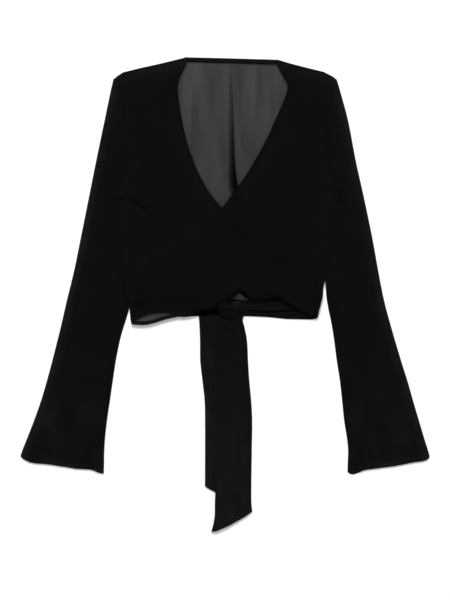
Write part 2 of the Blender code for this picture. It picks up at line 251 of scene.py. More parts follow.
def cloth_material(name, alpha, gap_alpha, roughness):
    made = plain_material(name, BLACK, roughness, MATT_SPECULAR)
    tree = made.node_tree
    nodes, links = tree.nodes, tree.links
    shader = nodes["Principled BSDF"]
    shader.inputs["Sheen Weight"].default_value = SHEEN
    shader.inputs["Sheen Roughness"].default_value = SHEEN_ROUGHNESS
    shader.inputs["Sheen Tint"].default_value = (*SHEEN_TINT, 1.0)
    weave = nodes.new("ShaderNodeGroup")
    weave.node_tree = georgette
    weave.inputs["Thread pitch"].default_value = THREAD_PITCH
    weave.inputs["Crinkle"].default_value = 0.9
    bump = nodes.new("ShaderNodeBump")
    bump.inputs["Strength"].default_value = 0.5
    bump.inputs["Distance"].default_value = 0.0002
    links.new(weave.outputs["Height"], bump.inputs["Height"])
    links.new(bump.outputs["Normal"], shader.inputs["Normal"])

    def mapped(value, low, high):
        node = nodes.new("ShaderNodeMapRange")
        node.inputs["To Min"].default_value, node.inputs["To Max"].default_value = low, high
        links.new(value, node.inputs["Value"])
        return node.outputs["Result"]

    deep = nodes.new("ShaderNodeAttribute")
    deep.attribute_name = "deep"
    clear = mapped(weave.outputs["Gaps"], 1.0 - alpha - gap_alpha, 1.0 - alpha + gap_alpha)
    clear = math_node(tree, "MULTIPLY", clear, mapped(weave.outputs["Slub"], 0.87, 1.13))
    clear = math_node(tree, "MULTIPLY", clear, mapped(deep.outputs["Fac"], 1.0, SLOT_CLEAR))
    slope = nodes.new("ShaderNodeLayerWeight")
    slope.inputs["Blend"].default_value = 0.5
    cosine = math_node(tree, "SUBTRACT", 1.0, slope.outputs["Facing"])
    longer = math_node(tree, "DIVIDE", 1.0, math_node(tree, "MAXIMUM", cosine, LEAST_COSINE))
    hidden = math_node(tree, "SUBTRACT", 1.0, math_node(tree, "POWER", clear, longer))
    links.new(hidden, shader.inputs["Alpha"])

    # Pale grey comes in with the slub, and with the first attribute: painted sheen and paler tone.
    sheen_and_tone = nodes.new("ShaderNodeAttribute")
    sheen_and_tone.attribute_name = "sheen_and_tone"
    uneven = math_node(tree, "MULTIPLY", mapped(weave.outputs["Slub"], 0.55, 1.45), sheen_and_tone.outputs["Fac"])
    paler = math_node(tree, "ADD", mapped(weave.outputs["Slub"], 0.0, 0.12), uneven)
    tone = nodes.new("ShaderNodeMix")
    tone.data_type = "RGBA"
    tone.inputs["A"].default_value = (*BLACK, 1.0)
    tone.inputs["B"].default_value = (*PALE_GREY, 1.0)
    links.new(paler, tone.inputs["Factor"])
    # Painted shade: in the slots the colour goes near black.
    shade = nodes.new("ShaderNodeMix")
    shade.data_type = "RGBA"
    links.new(tone.outputs["Result"], shade.inputs["A"])
    shade.inputs["B"].default_value = (*UNLIT, 1.0)
    links.new(deep.outputs["Fac"], shade.inputs["Factor"])
    links.new(shade.outputs["Result"], shader.inputs["Base Color"])
    mottle = mapped(weave.outputs["Slub"], roughness - 0.08, roughness + 0.08)
    links.new(mottle, shader.inputs["Roughness"])
    return made


sheer = cloth_material("georgette_single", 0.475, 0.05, 0.82)
close = cloth_material("georgette_close", 0.66, 0.05, 0.82)
turned = cloth_material("georgette_turned", 0.74, 0.03, 0.80)
thread = plain_material("sewing_thread", (0.006, 0.007, 0.0065), 0.6, 0.2)
print("cloths:", sheer.name, close.name, turned.name, "thread:", thread.name)

# %% [markdown]
# The outlines are the cut of the blouse as it lies. Each is a short list of points from the neck
# down, or from -X to +X, and a smooth curve or a line with corners is drawn through them. First the
# body: its shoulders, armholes and sides, and the two neck edges that cross.

# %% Outlines of the body, in millimetres from the hem's middle
SHOULDER_RIGHT = [(-177, 399), (-168, 405), (-140, 412), (-108, 419), (-63, 430)]
SHOULDER_LEFT = [(86, 426), (110, 419), (137, 412), (162, 406), (178, 398)]
NECK_BACK = [(-63, 430), (0, 428.5), (86, 426)]
ARMHOLE_RIGHT = [(-177, 399), (-172, 373), (-166, 341), (-163, 302), (-164, 261), (-170, 226)]
ARMHOLE_LEFT = [(178, 398), (172, 370), (167, 340), (165, 300), (169, 261), (178, 226)]
SIDE_RIGHT = [(-176, 201), (-173, 152), (-169, 99), (-165, 63), (-162, 35), (-157.8, 18)]
SIDE_LEFT = [(185, 201), (183.5, 178), (180, 152), (175.5, 120), (171.5, 92), (168.5, 76), (165.6, 62)]
SIDE_RIGHT_FREE = [(-156.8, 8), (-156, -2), (-154.3, -9.6)]
SIDE_LEFT_FREE = [
    (163, 54), (161.5, 45), (159.6, 29), (156.8, 20.6), (155.1, 12.4), (153.5, 2.5), (151, -0.8),
]
NECK_OVER = [
    (-63, 430), (-64, 419), (-73, 401), (-78, 380), (-75, 351), (-67, 308), (-54, 264),
    (-38, 228), (-21, 201), (-5, 182), (25, 153), (54, 129), (84, 107), (116, 89),
    (143, 70), (161, 46), (157.5, 22), (151.5, 0),
]
NECK_UNDER = [
    (86, 426), (85, 419), (95, 401), (103, 383), (98, 361), (86, 334), (70, 298), (50, 261),
    (26, 223), (-5, 182), (-41, 142), (-68, 122), (-99, 108), (-120, 98), (-134, 76),
    (-146, 46), (-152, 15),
]
print("neck to hem:", NECK_BACK[0][1], "mm; across:", SHOULDER_LEFT[-1][0] - SHOULDER_RIGHT[0][0])

# %% [markdown]
# The hems need more points. The fronts' hem leaves a window low on the right, rises to a sharp notch
# above the knot, and rises again before it slants down to the left side. Its inner side, which rolls
# forward there, has an outline of its own. The back's hem shows below them both.

# %% Outlines of the hems
HEM_FRONT = [
    (-155, -6), (-150, -5.4), (-146.9, -3.6), (-141, -0.4), (-135.3, 2.6), (-127, 5.6), (-115, 7.8),
    (-104, 8.8), (-95, 8.2), (-89, 6.6), (-84, 4.6), (-76, 3.3), (-68, 3.4), (-57.8, 4.3), (-50, 7),
    (-43.9, 11), (-33, 13.6), (-24, 14.2), (-17, 17), (-11, 24), (-6.9, 27.6), (1.6, 30.6),
    (6.6, 32.4), (11.6, 35.4), (16.5, 40.2), (20.5, 44.2), (23.2, 45.8), (26, 45.2), (31.4, 40.8),
    (40.4, 32.8), (46, 30.2), (51.2, 29.2), (57.8, 29.4), (65.5, 30.6), (76, 32.2), (82, 34),
    (86, 35.4), (90.8, 32.2), (97.2, 28), (113.4, 18.4), (127, 11.4), (140, 4.8), (151.5, 0),
]
HEM_INSIDE = [
    (-80, 3.4), (-70, 1.4), (-57.8, 2.4), (-50, 5.2), (-43.9, 8.8), (-33, 11.6), (-24, 12.8),
    (-17, 16), (-11, 22.8), (-6.9, 25.8), (1.6, 28.2), (6.6, 29.4), (11.6, 31.6), (16.5, 36.2),
    (20.5, 39.8), (23.2, 41.2), (26, 40), (31.4, 35.6), (39.3, 30), (46, 28.8), (51.2, 28.4),
    (57.8, 28.4), (65.5, 29), (76, 30), (82, 30.6), (86, 31), (90.8, 28.2), (97.2, 23.8),
    (113.4, 14), (127, 7.4), (140, 1.8), (147, -0.6),
]
HEM_BACK = [
    (-154.3, -9.6), (-150, -11), (-137, -11.9), (-127, -11), (-117, -8.6), (-107, -5.4),
    (-97.3, -2.3), (-87.5, -0.2), (-77.6, 2.1), (-57.8, 2.8), (-44.6, 3.1), (-8, 3.5),
    (33, 3.1), (51, 2.6), (74, 1.3), (100.7, -1.5), (127, -2.1), (143.6, -2.5), (151, -0.8),
]
print("notch in the hem:", max(HEM_FRONT, key=lambda point: point[1]))

# %% [markdown]
# A sleeve has an outer side, where the cloth is folded, an inner side with the seam, and a cuff. Both
# flare from the elbow down. The two sleeves don't lie quite alike, so each has its own outline.

# %% Outlines of the sleeves
OUTER_RIGHT = [
    (-184, 394), (-188.5, 375), (-198.7, 326), (-212.4, 260), (-225.6, 194), (-238.8, 128),
    (-249, 78), (-260.9, 29), (-270.8, -14), (-284.8, -70), (-293.7, -103), (-303.4, -136),
    (-315, -169), (-327.9, -202), (-334.5, -218.6), (-337.4, -227.7),
]
OUTER_LEFT = [
    (184.5, 393), (189.9, 375), (203, 326), (215.7, 260), (230.3, 194), (243.9, 128),
    (252.8, 78), (262.5, 29), (273.9, -14), (290.4, -70), (300.8, -103), (310.2, -136),
    (319.9, -169), (329.8, -202), (335.1, -218.6), (337.6, -227.7),
]
INNER_RIGHT = [
    (-158.7, 12.4), (-161.7, 2.5), (-163.7, -4), (-167, -14), (-173.4, -37), (-180, -70),
    (-185, -103), (-189.9, -136), (-194.7, -169), (-198.2, -202), (-199.4, -228), (-199.4, -242),
    (-200, -256.4),
]
INNER_LEFT = [
    (165.8, 54), (166.3, 45.4), (168, 29), (169.6, 20.6), (170.9, 12.4), (173.3, 2.5), (176.4, -14),
    (180, -37), (184.3, -70), (189.4, -103), (193.1, -136), (196.5, -169), (201.6, -202),
    (203, -218.6), (202.5, -235), (202, -254),
]
CUFF_RIGHT = [
    (-337.4, -227.7), (-333.3, -232.3), (-321.8, -237.9), (-311.9, -239.9), (-298.7, -240.7),
    (-285.5, -242.2), (-272.3, -244.5), (-259, -246.3), (-245.9, -248.7), (-222.8, -249.8),
    (-216.2, -251.6), (-209.6, -254.8), (-203, -256.4), (-200, -256.4),
]
CUFF_LEFT = [
    (337.6, -227.7), (336.9, -231), (331.7, -234.6), (325, -236.3), (311.9, -237.9),
    (295.4, -241.2), (278.9, -244.5), (262.4, -246.5), (245.9, -248.7), (232.7, -250.3),
    (226, -252.3), (219.5, -255.9), (212.9, -257.9), (206.3, -257.7), (202, -254),
]
print("right cuff, lying flat:", round(CUFF_RIGHT[-1][0] - CUFF_RIGHT[0][0]), "mm")

# %% [markdown]
# Two kinds of line go through the points. A long edge of cloth is a smooth curve: a cubic between
# each two points, whose slope there is that of the points beside it. A hem or a shoulder keeps its
# corners. Both are functions of a share from 0 to 1, so a grid of any fineness can follow them.

# %% Lines through the points


def blend(a, b, share):
    """The place, or any row of numbers, at a share of the way from a to b."""
    return tuple(p + (q - p) * share for p, q in zip(a, b))


def smoothstep(value):
    """A soft step: 0 up to 0, 1 from 1 on."""
    value = min(max(value, 0.0), 1.0)
    return value * value * (3.0 - 2.0 * value)


def marks_along(points):
    """How far along the line each of its points is."""
    marks = [0.0]
    for a, b in zip(points, points[1:]):
        marks.append(marks[-1] + math.dist(a, b))
    return marks


def curve(points):
    """A function from a share, 0 to 1, to the point that far along a smooth line."""
    marks = marks_along(points)
    last = len(points) - 1

    def slope(i):
        before, after = max(i - 1, 0), min(i + 1, last)
        run = marks[after] - marks[before]
        return tuple((q - p) / run for p, q in zip(points[before], points[after]))

    slopes = [slope(i) for i in range(len(points))]

    def at(share):
        wanted = min(max(share, 0.0), 1.0) * marks[-1]
        i = min(bisect_right(marks, wanted) - 1, last - 1)
        run = marks[i + 1] - marks[i]
        t = (wanted - marks[i]) / run
        keep, pull_a = 2 * t**3 - 3 * t**2 + 1, (t**3 - 2 * t**2 + t) * run
        take, pull_b = 3 * t**2 - 2 * t**3, (t**3 - t**2) * run
        return tuple(
            keep * a + pull_a * m + take * b + pull_b * n
            for a, b, m, n in zip(points[i], points[i + 1], slopes[i], slopes[i + 1])
        )

    return at


def straight(points):
    """A function from a share of the width to the point there on a line with corners."""
    span = points[-1][0] - points[0][0]
    shares = [(x - points[0][0]) / span for x, _ in points]

    def at(share):
        i = min(max(bisect_right(shares, share) - 1, 0), len(points) - 2)
        run = shares[i + 1] - shares[i]
        return blend(points[i], points[i + 1], (share - shares[i]) / run)

    return at


def height_along(points):
    """A function from x to the y of a line with corners there."""
    line = straight(points)
    start, end = points[0][0], points[-1][0]
    return lambda x: line((x - start) / (end - start))[1]


print("neck edge of the over front:", round(marks_along(NECK_OVER)[-1]), "mm")

# %% [markdown]
# What changes along the cloth stands in short tables, read between their rows. A panel lies between
# four edges: a point goes from the left edge to the right one, and near the top and the bottom it
# takes up their bow. That is how a square grid becomes a panel with a curved armhole.

# %% Tables, and places between four edges


def table(rows, y):
    """The other columns of the row at height y, for rows that run down."""
    if y >= rows[0][0]:
        return rows[0][1:]
    for upper, lower in zip(rows, rows[1:]):
        if y >= lower[0]:
            return blend(upper[1:], lower[1:], (upper[0] - y) / (upper[0] - lower[0]))
    return rows[-1][1:]


def table_across(rows, x):
    """The other columns of the row at x, for rows that run from -X to +X."""
    return table([(-row[0], *row[1:]) for row in rows], -x)


def by_height(edge):
    """An edge that runs down as a table of x for each height."""
    return [(y, x) for x, y in edge]


def spread(left, right, top, bottom, pull=4):
    """A function from shares across and down to a point between four edges."""

    def bow(edge, across):
        level = blend(edge(0.0), edge(1.0), across)
        return tuple(p - q for p, q in zip(edge(across), level))

    def at(across, down):
        x, y = blend(left(down), right(down), across)
        high, low = bow(top, across), bow(bottom, across)
        near_top, near_bottom = (1.0 - down) ** pull, down**pull
        return (
            x + high[0] * near_top + low[0] * near_bottom,
            y + high[1] * near_top + low[1] * near_bottom,
        )

    return at


print("right armhole, half way down, at x:", round(table(by_height(ARMHOLE_RIGHT), 310.0)[0], 1))

# %% [markdown]
# Creases, hems and seams all ask how far a point is from a line, and on which side. The lines of a
# grid can crowd together in the stretches where the cloth has small forms, and stand wider elsewhere,
# which spends the faces where they show.

# %% Distances, and crowded lines


def nearest(line, x, y):
    """Where a line is nearest to a point: how far along, how far aside, and the way aside.

    Aside is above 0 on the right of a line's direction, which for a line that runs down is -X.
    """
    best, walked = None, 0.0
    for (x0, y0), (x1, y1) in zip(line, line[1:]):
        dx, dy = x1 - x0, y1 - y0
        length = math.hypot(dx, dy)
        t = min(max(((x - x0) * dx + (y - y0) * dy) / length**2, 0.0), 1.0)
        away = math.hypot(x - x0 - t * dx, y - y0 - t * dy)
        if best is None or away < best[0]:
            side = 1.0 if (x - x0) * dy - (y - y0) * dx > 0 else -1.0
            best = (away, walked + t * length, side * away, dy / length, -dx / length)
        walked += length
    return best[1:]


def inside(edge, x, y):
    """The distance from a point to an edge that runs down: above 0 on its +X side."""
    return -nearest(edge, x, y)[1]


def crowded(count, *zones):
    """Shares from 0 to 1 for count + 1 lines, which stand closer together in the zones."""
    steps = 1500
    sums = [0.0]
    for i in range(steps):
        share = (i + 0.5) / steps
        extra = sum(gain * math.exp(-(((share - at) / half) ** 2)) for at, half, gain in zones)
        sums.append(sums[-1] + 1.0 + extra)
    lines = []
    for k in range(count + 1):
        wanted = sums[-1] * k / count
        i = min(bisect_right(sums, wanted) - 1, steps - 1)
        lines.append(min((i + (wanted - sums[i]) / (sums[i + 1] - sums[i])) / steps, 1.0))
    return lines


print("the neck opening at its top:", round(inside(NECK_OVER, *NECK_UNDER[0])), "mm")

# %% [markdown]
# Laid cloth is never quite flat. We place its creases one by one, because a cloth simulation would
# invent its own, and here each one has to lie where the real blouse has it. A row holds the line that
# the crease follows, its height, the widths of its soft and its sharp flank, how far it leans over its
# sharp flank, which is on the right of the line's direction, and the depth of the slot at its foot.
# A row without height is a slot alone, where two folds meet.

# %% Creases of the body
# A slot's depth also sets how dark the painted shade in it is.
FRONT_CREASES = [  # line, height, soft flank, sharp flank, lean, slot
    ([(-182, 207), (-176, 198), (-168, 195.5), (-164, 199)], 2.4, 8, 2.0, 0.8, 0),
    ([(-165, 200), (-157, 197), (-147, 194), (-140, 186), (-127, 178)], 2.6, 9, 2.1, 0.8, 0),
    ([(-181, 209), (-177.5, 199.5), (-172, 196), (-166, 196.5), (-162.5, 201), (-157.5, 198.5)],
     0, 2.0, 2.0, 0, 3.0),
    ([(-160, 199), (-153, 195.5), (-147, 193.5), (-140.5, 185), (-134, 181), (-125, 177)],
     0, 1.9, 1.9, 0, 3.0),
    ([(-130, 180), (-108, 170), (-84, 166)], 1.4, 12, 6, 0.0, 0),
    ([(-176, 190), (-171, 150), (-168, 110)], 1.0, 8, 6, 0.0, 0),
    ([(192, 216), (187, 207), (190, 198), (196, 188)], 1.8, 7, 2.0, 0.8, 0),
    ([(184, 218), (189, 211), (186.5, 204), (192, 197), (190.5, 189), (186, 184)], 0, 1.7, 1.7, 0, 3.0),
    ([(184, 196), (176, 178), (172, 150)], 1.2, 8, 5, 0.0, 0),
    ([(34, 141), (70, 137), (112, 137), (140, 141), (166, 135)], 1.1, 10, 4.5, 0.4, 0),
    ([(94, 95), (116, 96), (130, 100), (148, 108), (162, 120), (172, 134)], 1.5, 11, 4.5, 0.8, 0),
    ([(60, 112), (84, 100), (100, 84)], 1.3, 14, 7, 0.0, 0),
    ([(-169.5, 86), (-168.3, 69), (-166, 48), (-163.4, 30), (-158, 17)], 0, 1.9, 1.9, 0, 3.0),
    ([(57, 50), (66, 46), (77, 40), (86, 35)], 1.4, 8, 1.8, 0.8, 0),
    ([(56, 51), (66, 46), (73, 43.4), (79, 39.6), (85, 35.6)], 0, 1.3, 1.3, 0, 1.7),
    ([(150, 92), (156, 66), (160, 44)], 1.2, 8, 5, 0.0, 0),
    ([(-128, 62), (-80, 50), (-34, 46)], 0.9, 18, 10, 0.0, 0),
    ([(-140, 384), (-128, 336), (-118, 284)], 1.3, 20, 12, 0.0, 0),
    ([(-104, 406), (-96, 372), (-90, 330)], 1.0, 16, 10, 0.0, 0),
    ([(146, 378), (138, 336), (128, 286)], 1.3, 20, 12, 0.0, 0),
    ([(118, 408), (114, 376), (112, 336)], 1.0, 14, 10, 0.0, 0),
    ([(-66, 232), (-44, 196), (-14, 168)], 0.9, 10, 5, 0.0, 0),
    ([(6, 168), (34, 150), (60, 138)], 0.9, 10, 5, 0.0, 0),
]

# %% [markdown]
# Down the outer fold of a sleeve the cloth has short nicks, where it was bent on its way to lying
# flat. Towards the cuff they become long soft waves, because the flare has cloth to spare.

# %% Creases of the sleeves
SLEEVE_CREASES = [
    ([(-186, 352), (-180, 360), (-170, 362)], 1.8, 5, 2.4, 0.8, 0),
    ([(-199, 316), (-190, 322), (-180, 322)], 1.4, 5, 3, 0.5, 0),
    ([(-204, 296), (-194, 300), (-186, 308)], 1.8, 5, 2.4, 0.8, 0),
    ([(-208, 278), (-198, 281), (-188, 290)], 1.4, 5, 3, 0.5, 0),
    ([(-212, 258), (-202, 260), (-194, 268)], 1.8, 5, 2.4, 0.8, 0),
    ([(-217, 232), (-206, 236), (-196, 248)], 1.5, 6, 3, 0.5, 0),
    ([(-224, 196), (-214, 204), (-206, 222)], 1.3, 7, 4, 0.3, 0),
    ([(-236, 140), (-226, 152), (-220, 174)], 1.4, 8, 4, 0.3, 0),
    ([(-242, 104), (-232, 112), (-226, 130)], 1.6, 8, 4, 0.4, 0),
    ([(-256, 52), (-244, 66), (-238, 92)], 1.5, 8, 5, 0.3, 0),
    ([(-262, 18), (-250, 34), (-244, 60)], 1.3, 8, 5, 0.0, 0),
    ([(-198, 60), (-206, 0), (-212, -60)], 1.2, 18, 12, 0.0, 0),
    ([(-228, -66), (-248, -122), (-271, -160), (-304, -188)], 3.2, 20, 7, 0.8, 0),
    ([(-206, -110), (-214, -170), (-226, -240)], 1.7, 20, 12, 0.0, 0),
    ([(-298, -196), (-300, -216), (-306, -236)], 1.6, 12, 8, 0.0, 0),
    ([(214, 250), (220, 214), (226, 176)], 1.0, 12, 8, 0.0, 0),
    ([(212, 300), (202, 306), (192, 304)], 1.2, 6, 4, 0.3, 0),
    ([(224, 236), (212, 244), (200, 240)], 1.2, 7, 4, 0.3, 0),
    ([(238, 172), (228, 186), (222, 206)], 1.1, 8, 5, 0.0, 0),
    ([(236, 96), (248, 30), (262, -30)], 1.4, 16, 10, 0.0, 0),
    ([(204, 30), (208, -20), (214, -70)], 1.1, 14, 9, 0.0, 0),
    ([(196, -84), (202, -104), (210, -132)], 2.2, 10, 5, 0.3, 0),
    ([(226, -60), (230, -120), (238, -190)], 1.3, 18, 11, 0.0, 0),
    ([(262, -110), (276, -170), (294, -236)], 2.0, 20, 12, 0.0, 0),
    ([(308, -168), (312, -200), (320, -232)], 1.3, 12, 8, 0.0, 0),
]

# %% [markdown]
# A crease is a bell-shaped rise across its line, narrower on its sharp flank, and it dies away at
# both ends. Where creases cross, the higher one wins, since cloth doesn't stack up there. The slot at
# its foot is another bell, turned down, and shade is painted into it. Low wandering noise adds the
# ease of the cloth in between.

# %% From rows to creased cloth
END_FADE = 14.0


def framed(rows):
    """Each crease with the box that it can reach."""
    made = []
    for line, height, soft, sharp, lean, slot in rows:
        reach = 3 * soft
        xs, ys = [x for x, _ in line], [y for _, y in line]
        box = (min(xs) - reach, max(xs) + reach, min(ys) - reach, max(ys) + reach)
        made.append((box, line, height, soft, sharp, lean, slot))
    return made


def creased(rows, x, y):
    """How far creases move a point along x, y and z, and its painted shade in a slot, 0 to 1."""
    push_x = push_y = rise = sunk = deep = 0.0
    for box, line, height, soft, sharp, lean, slot in rows:
        if not (box[0] < x < box[1] and box[2] < y < box[3]):
            continue
        along, aside, way_x, way_y = nearest(line, x, y)
        total = marks_along(line)[-1]
        flank = sharp if aside > 0 else soft
        if abs(aside) < 3 * flank:
            fade = smoothstep(min(along, total - along) / min(END_FADE, 0.3 * total))
            bulge = fade * math.exp(-((aside / flank) ** 2)) if height else 0.0
            foot = fade * math.exp(-(((aside - (1.6 * sharp if height else 0.0)) / sharp) ** 2))
            rise = max(rise, height * bulge)
            sunk = max(sunk, slot * foot)
            deep = max(deep, min(slot / 2.0, 1.0) * foot)
            push_x += lean * bulge * way_x
            push_y += lean * bulge * way_y
    return push_x, push_y, rise - sunk, deep


def ease(x, y, seed):
    """The soft wander of cloth that isn't pressed: always 0 or more."""
    broad = noise.noise(Vector((x / 46.0, y / 85.0, seed)))
    fine = noise.noise(Vector((x / 17.0, y / 30.0, seed + 9.0)))
    return max(0.55 + 0.5 * broad + 0.22 * fine, 0.0)


all_creases = framed(FRONT_CREASES + SLEEVE_CREASES)
print("creases placed by hand:", len(all_creases))

# %% [markdown]
# The levels follow the rigid model: the back lies on the table, the fronts on the back, and where
# the fronts cross, the over front rides one level higher. At the shoulder and the side seams the
# layers come together, and at the armhole they hold most of their height, since the sleeve goes on
# from there.

# %% Levels, shoulders and sides
THIN = 0.34  # the thickness of one cloth
LAYER = 1.3  # from one level to the next
REST = 0.35  # the back above the table
PUFF = 2.0  # how far the middle of a soft cloth rises
SHOULDER_RUN, SIDE_RUN = 15.0, 16.0  # how far from its edge a cloth is full
ARMPIT, SEAM_HOLD = 206.0, 0.75
TOP_LINE = [OUTER_RIGHT[0]] + SHOULDER_RIGHT + SHOULDER_LEFT + [OUTER_LEFT[0]]
BODY_RIGHT = by_height(ARMHOLE_RIGHT + SIDE_RIGHT + SIDE_RIGHT_FREE)
BODY_LEFT = by_height(ARMHOLE_LEFT + SIDE_LEFT + SIDE_LEFT_FREE)
top_height = height_along(TOP_LINE)


def level(number):
    """The height of a cloth above the table, counted from the back, which is 0."""
    return REST + number * LAYER


def below_top(x, y):
    """How far a point lies below the shoulder line, or nothing beside it."""
    return top_height(x) - y if TOP_LINE[0][0] < x < TOP_LINE[-1][0] else None


def shoulder_fall(x, y):
    """0 at the shoulder line and 1 a little below it."""
    drop = below_top(x, y)
    return 1.0 if drop is None else smoothstep(drop / SHOULDER_RUN)


def seam_hold(y):
    """The share of its height that the cloth keeps at the body's side: most at the armhole."""
    return SEAM_HOLD * smoothstep((y - ARMPIT) / 30.0)


def body_fill(x, y):
    """How full the body is, 0 to 1: least at the shoulders and down the sides."""
    right, left = table(BODY_RIGHT, y)[0], table(BODY_LEFT, y)[0]
    gap = max(min(x - right, left - x), 0.0)
    hold = seam_hold(y)
    return (hold + (1.0 - hold) * smoothstep(gap / SIDE_RUN)) * shoulder_fall(x, y)


def soft_rise(x, y):
    """How far a cloth that is full here rises."""
    return PUFF + ease(x, y, 3.0)


print("levels, millimetres:", [round(level(number), 2) for number in range(3)])

# %% [markdown]
# Two things lift the cloths further. The tie runs between back and fronts and lifts the fronts' hem,
# which is rolled to a thin edge. And the back has a fold down its centre, which leans further over
# and gets higher on its way down, until it dies away under the crossed fronts. On the right the hem
# is pressed flat beside the window, and the very corner curls up from the table.

# %% The fronts' hem and the centre fold
HEM_SHAPE = [  # x, how far the tie lifts the hem, how much the cloth bulges above it
    (-62, 0.0, 0.2), (-50, 1.2, 0.4), (-40, 3.6, 0.4), (-26, 4.2, 0.4), (-14, 3.6, 0.8),
    (-4, 2.4, 1.2), (10, 1.2, 2.2), (22, 0.5, 2.8), (32, 0.6, 2.4), (44, 1.1, 1.4), (60, 1.2, 1.2),
    (80, 1.4, 1.6), (100, 1.5, 2.0), (120, 1.2, 2.0), (140, 0.8, 1.6), (152, 0.3, 1.0),
]
HEM_ROLL = 5.0
HEM_LIFT, HEM_CURL = 3.2, 7.5
back_hem_height = height_along(HEM_BACK)
CENTRE_FOLD = [  # y, right edge of the fold, lean, height, soft flank, sharp flank, width, shade
    (414, 8.4, 0.1, 0.2, 5.0, 3.0, 4.0, 0.00),
    (401, 9.4, 0.4, 0.8, 5.0, 3.0, 5.0, 0.08),
    (370, 10.6, 1.0, 1.8, 5.0, 2.8, 7.0, 0.16),
    (327, 12.4, 1.6, 2.4, 5.0, 2.6, 9.0, 0.26),
    (290, 13.8, 2.0, 2.8, 5.5, 2.4, 11.0, 0.38),
    (252, 15.8, 4.0, 3.2, 6.5, 2.6, 13.0, 0.58),
    (235, 17.6, 8.0, 3.2, 8.0, 3.0, 16.0, 0.70),
    (218, 20.2, 11.0, 3.0, 10.0, 3.6, 18.0, 0.80),
    (200, 22.0, 10.0, 2.2, 12.0, 4.6, 15.0, 0.70),
    (182, 23.0, 3.0, 0.8, 14.0, 6.0, 16.0, 0.30),
    (160, 23.0, 0.0, 0.0, 14.0, 6.0, 16.0, 0.00),
]


def fold_cover(x, y):
    """How far the cloths over the back's centre fold have to rise."""
    edge, _, height = table(CENTRE_FOLD, y)[:3]
    return 1.3 * height * math.exp(-(((x - edge + 4.0) / 18.0) ** 2))


def hem_roll(x, y):
    """0 on the fronts' hem and 1 a little above it; and how far the tie lifts the cloth here."""
    if y > 100.0:
        return 1.0, 0.0
    away = abs(nearest(HEM_FRONT, x, y)[1])
    rolled = smoothstep((away + 0.4) / HEM_ROLL)
    lift, bulge = table_across(HEM_SHAPE, x)
    return rolled, smoothstep((88.0 - y) / 44.0) * (lift + bulge * rolled)


def hem_lift(x, y):
    """The lower right corner of the body curls up from the table at its very edge."""
    above = y - back_hem_height(x)
    return HEM_LIFT * smoothstep(1.0 - above / HEM_CURL) * smoothstep((-44.0 - x) / 30.0)


def hem_press(x, y):
    """How flat the fronts lie on the back near the window in the hem: 0 to 1."""
    return smoothstep((-52.0 - x) / 20.0) * smoothstep((34.0 - y) / 26.0)


print("centre fold, highest:", max(row[3] for row in CENTRE_FOLD), "mm")

# %% [markdown]
# Now each panel can be laid: a function takes a point of the pattern and gives its place on the table
# and how deep it lies in a slot. The over front rises over the under front within a few millimetres
# of its edge, and where the two are pressed together it rises less. No upper cloth may sink into the
# one below it, so its height has a floor.

# %% How the panels lie
HOLD, EASE = 4.0, 10.0  # past an edge: nothing changes, and then the change takes this long
NECK_RUN = 26.0  # how far from its neck edge a front is full
CLEAR = 0.45  # the least height above the cloth below
STREAK_X, STREAK_HIGH, STREAK_HALF = -57.0, 1.6, 4.6
STREAK_TOP, STREAK_END = 388.0, 276.0


def front_height(x, y, neck_edge, toward):
    """The height of a front: toward is 1 where the cloth lies on the neck edge's +X side."""
    near = 0.3 + 0.7 * smoothstep(toward * inside(neck_edge, x, y) / NECK_RUN)
    rolled, lift = hem_roll(x, y)
    flat = min(1.0 - 0.85 * hem_press(x, y), 0.1 + 0.9 * rolled)
    soft = soft_rise(x, y) * body_fill(x, y) * near * flat
    pressed = 0.6 * hem_press(x, y)
    return level(1) - pressed + fold_cover(x, y) + soft + lift + hem_lift(x, y)


def settled(x, y, push, z):
    """A point of an upper cloth after a crease moved it: never lower than the layer below."""
    return x + push[0], y + push[1], max(z + push[2], level(0) + CLEAR), push[3]


def lay_under(x, y):
    """The under front: its creases stay on the part that the over front leaves bare."""
    bare = smoothstep((inside(NECK_OVER, x, y) - HOLD) / EASE)
    push = [bare * way for way in creased(all_creases, x, y)]
    return settled(x, y, push, front_height(x, y, NECK_UNDER, 1.0))


def lay_over(x, y):
    """The over front, raised by one level where it lies on the under front."""
    raised = smoothstep((inside(NECK_UNDER, x, y) + HOLD + EASE) / EASE)
    z = front_height(x, y, NECK_OVER, -1.0)
    if raised > 0.0:
        z = max(z, front_height(x, y, NECK_UNDER, 1.0))
    rolled, _ = hem_roll(x, y)
    raised *= (0.4 + 0.6 * rolled) * (1.0 - 0.8 * hem_press(x, y))
    return settled(x, y, creased(all_creases, x, y), z + LAYER * raised)


def lay_back(x, y):
    """The back on the table: its centre fold, one faint streak and broad low waves."""
    edge, lean, height, soft, sharp, width, shade = table(CENTRE_FOLD, y)
    off = x - (edge - lean)
    bulge = math.exp(-((off / (soft if off < 0 else sharp)) ** 2))
    streak = STREAK_HIGH * math.exp(-(((x - STREAK_X) / STREAK_HALF) ** 2))
    streak *= smoothstep((STREAK_TOP - y) / 30) * smoothstep((y - STREAK_END) / 40)
    broad = 0.8 * max(noise.noise(Vector((x / 13.0, y / 60.0, 1.5))), 0.0) * smoothstep((y - 200) / 60)
    past = x + lean * bulge - edge
    # Painted shade: darker along the fold's soft flank, and faintly over the back from chest to waist.
    deep = shade * (1.0 - smoothstep(-past / width if past < 0 else past / 1.6))
    deep = max(deep, 0.03 * smoothstep((340.0 - y) / 60.0) * smoothstep((y - 100.0) / 60.0))
    z = level(0) + height * bulge + streak + broad + hem_lift(x, y)
    return x + lean * bulge, y, z, deep


print("over front at the chest:", round(lay_over(-90.0, 250.0)[2], 2), "mm above the table")

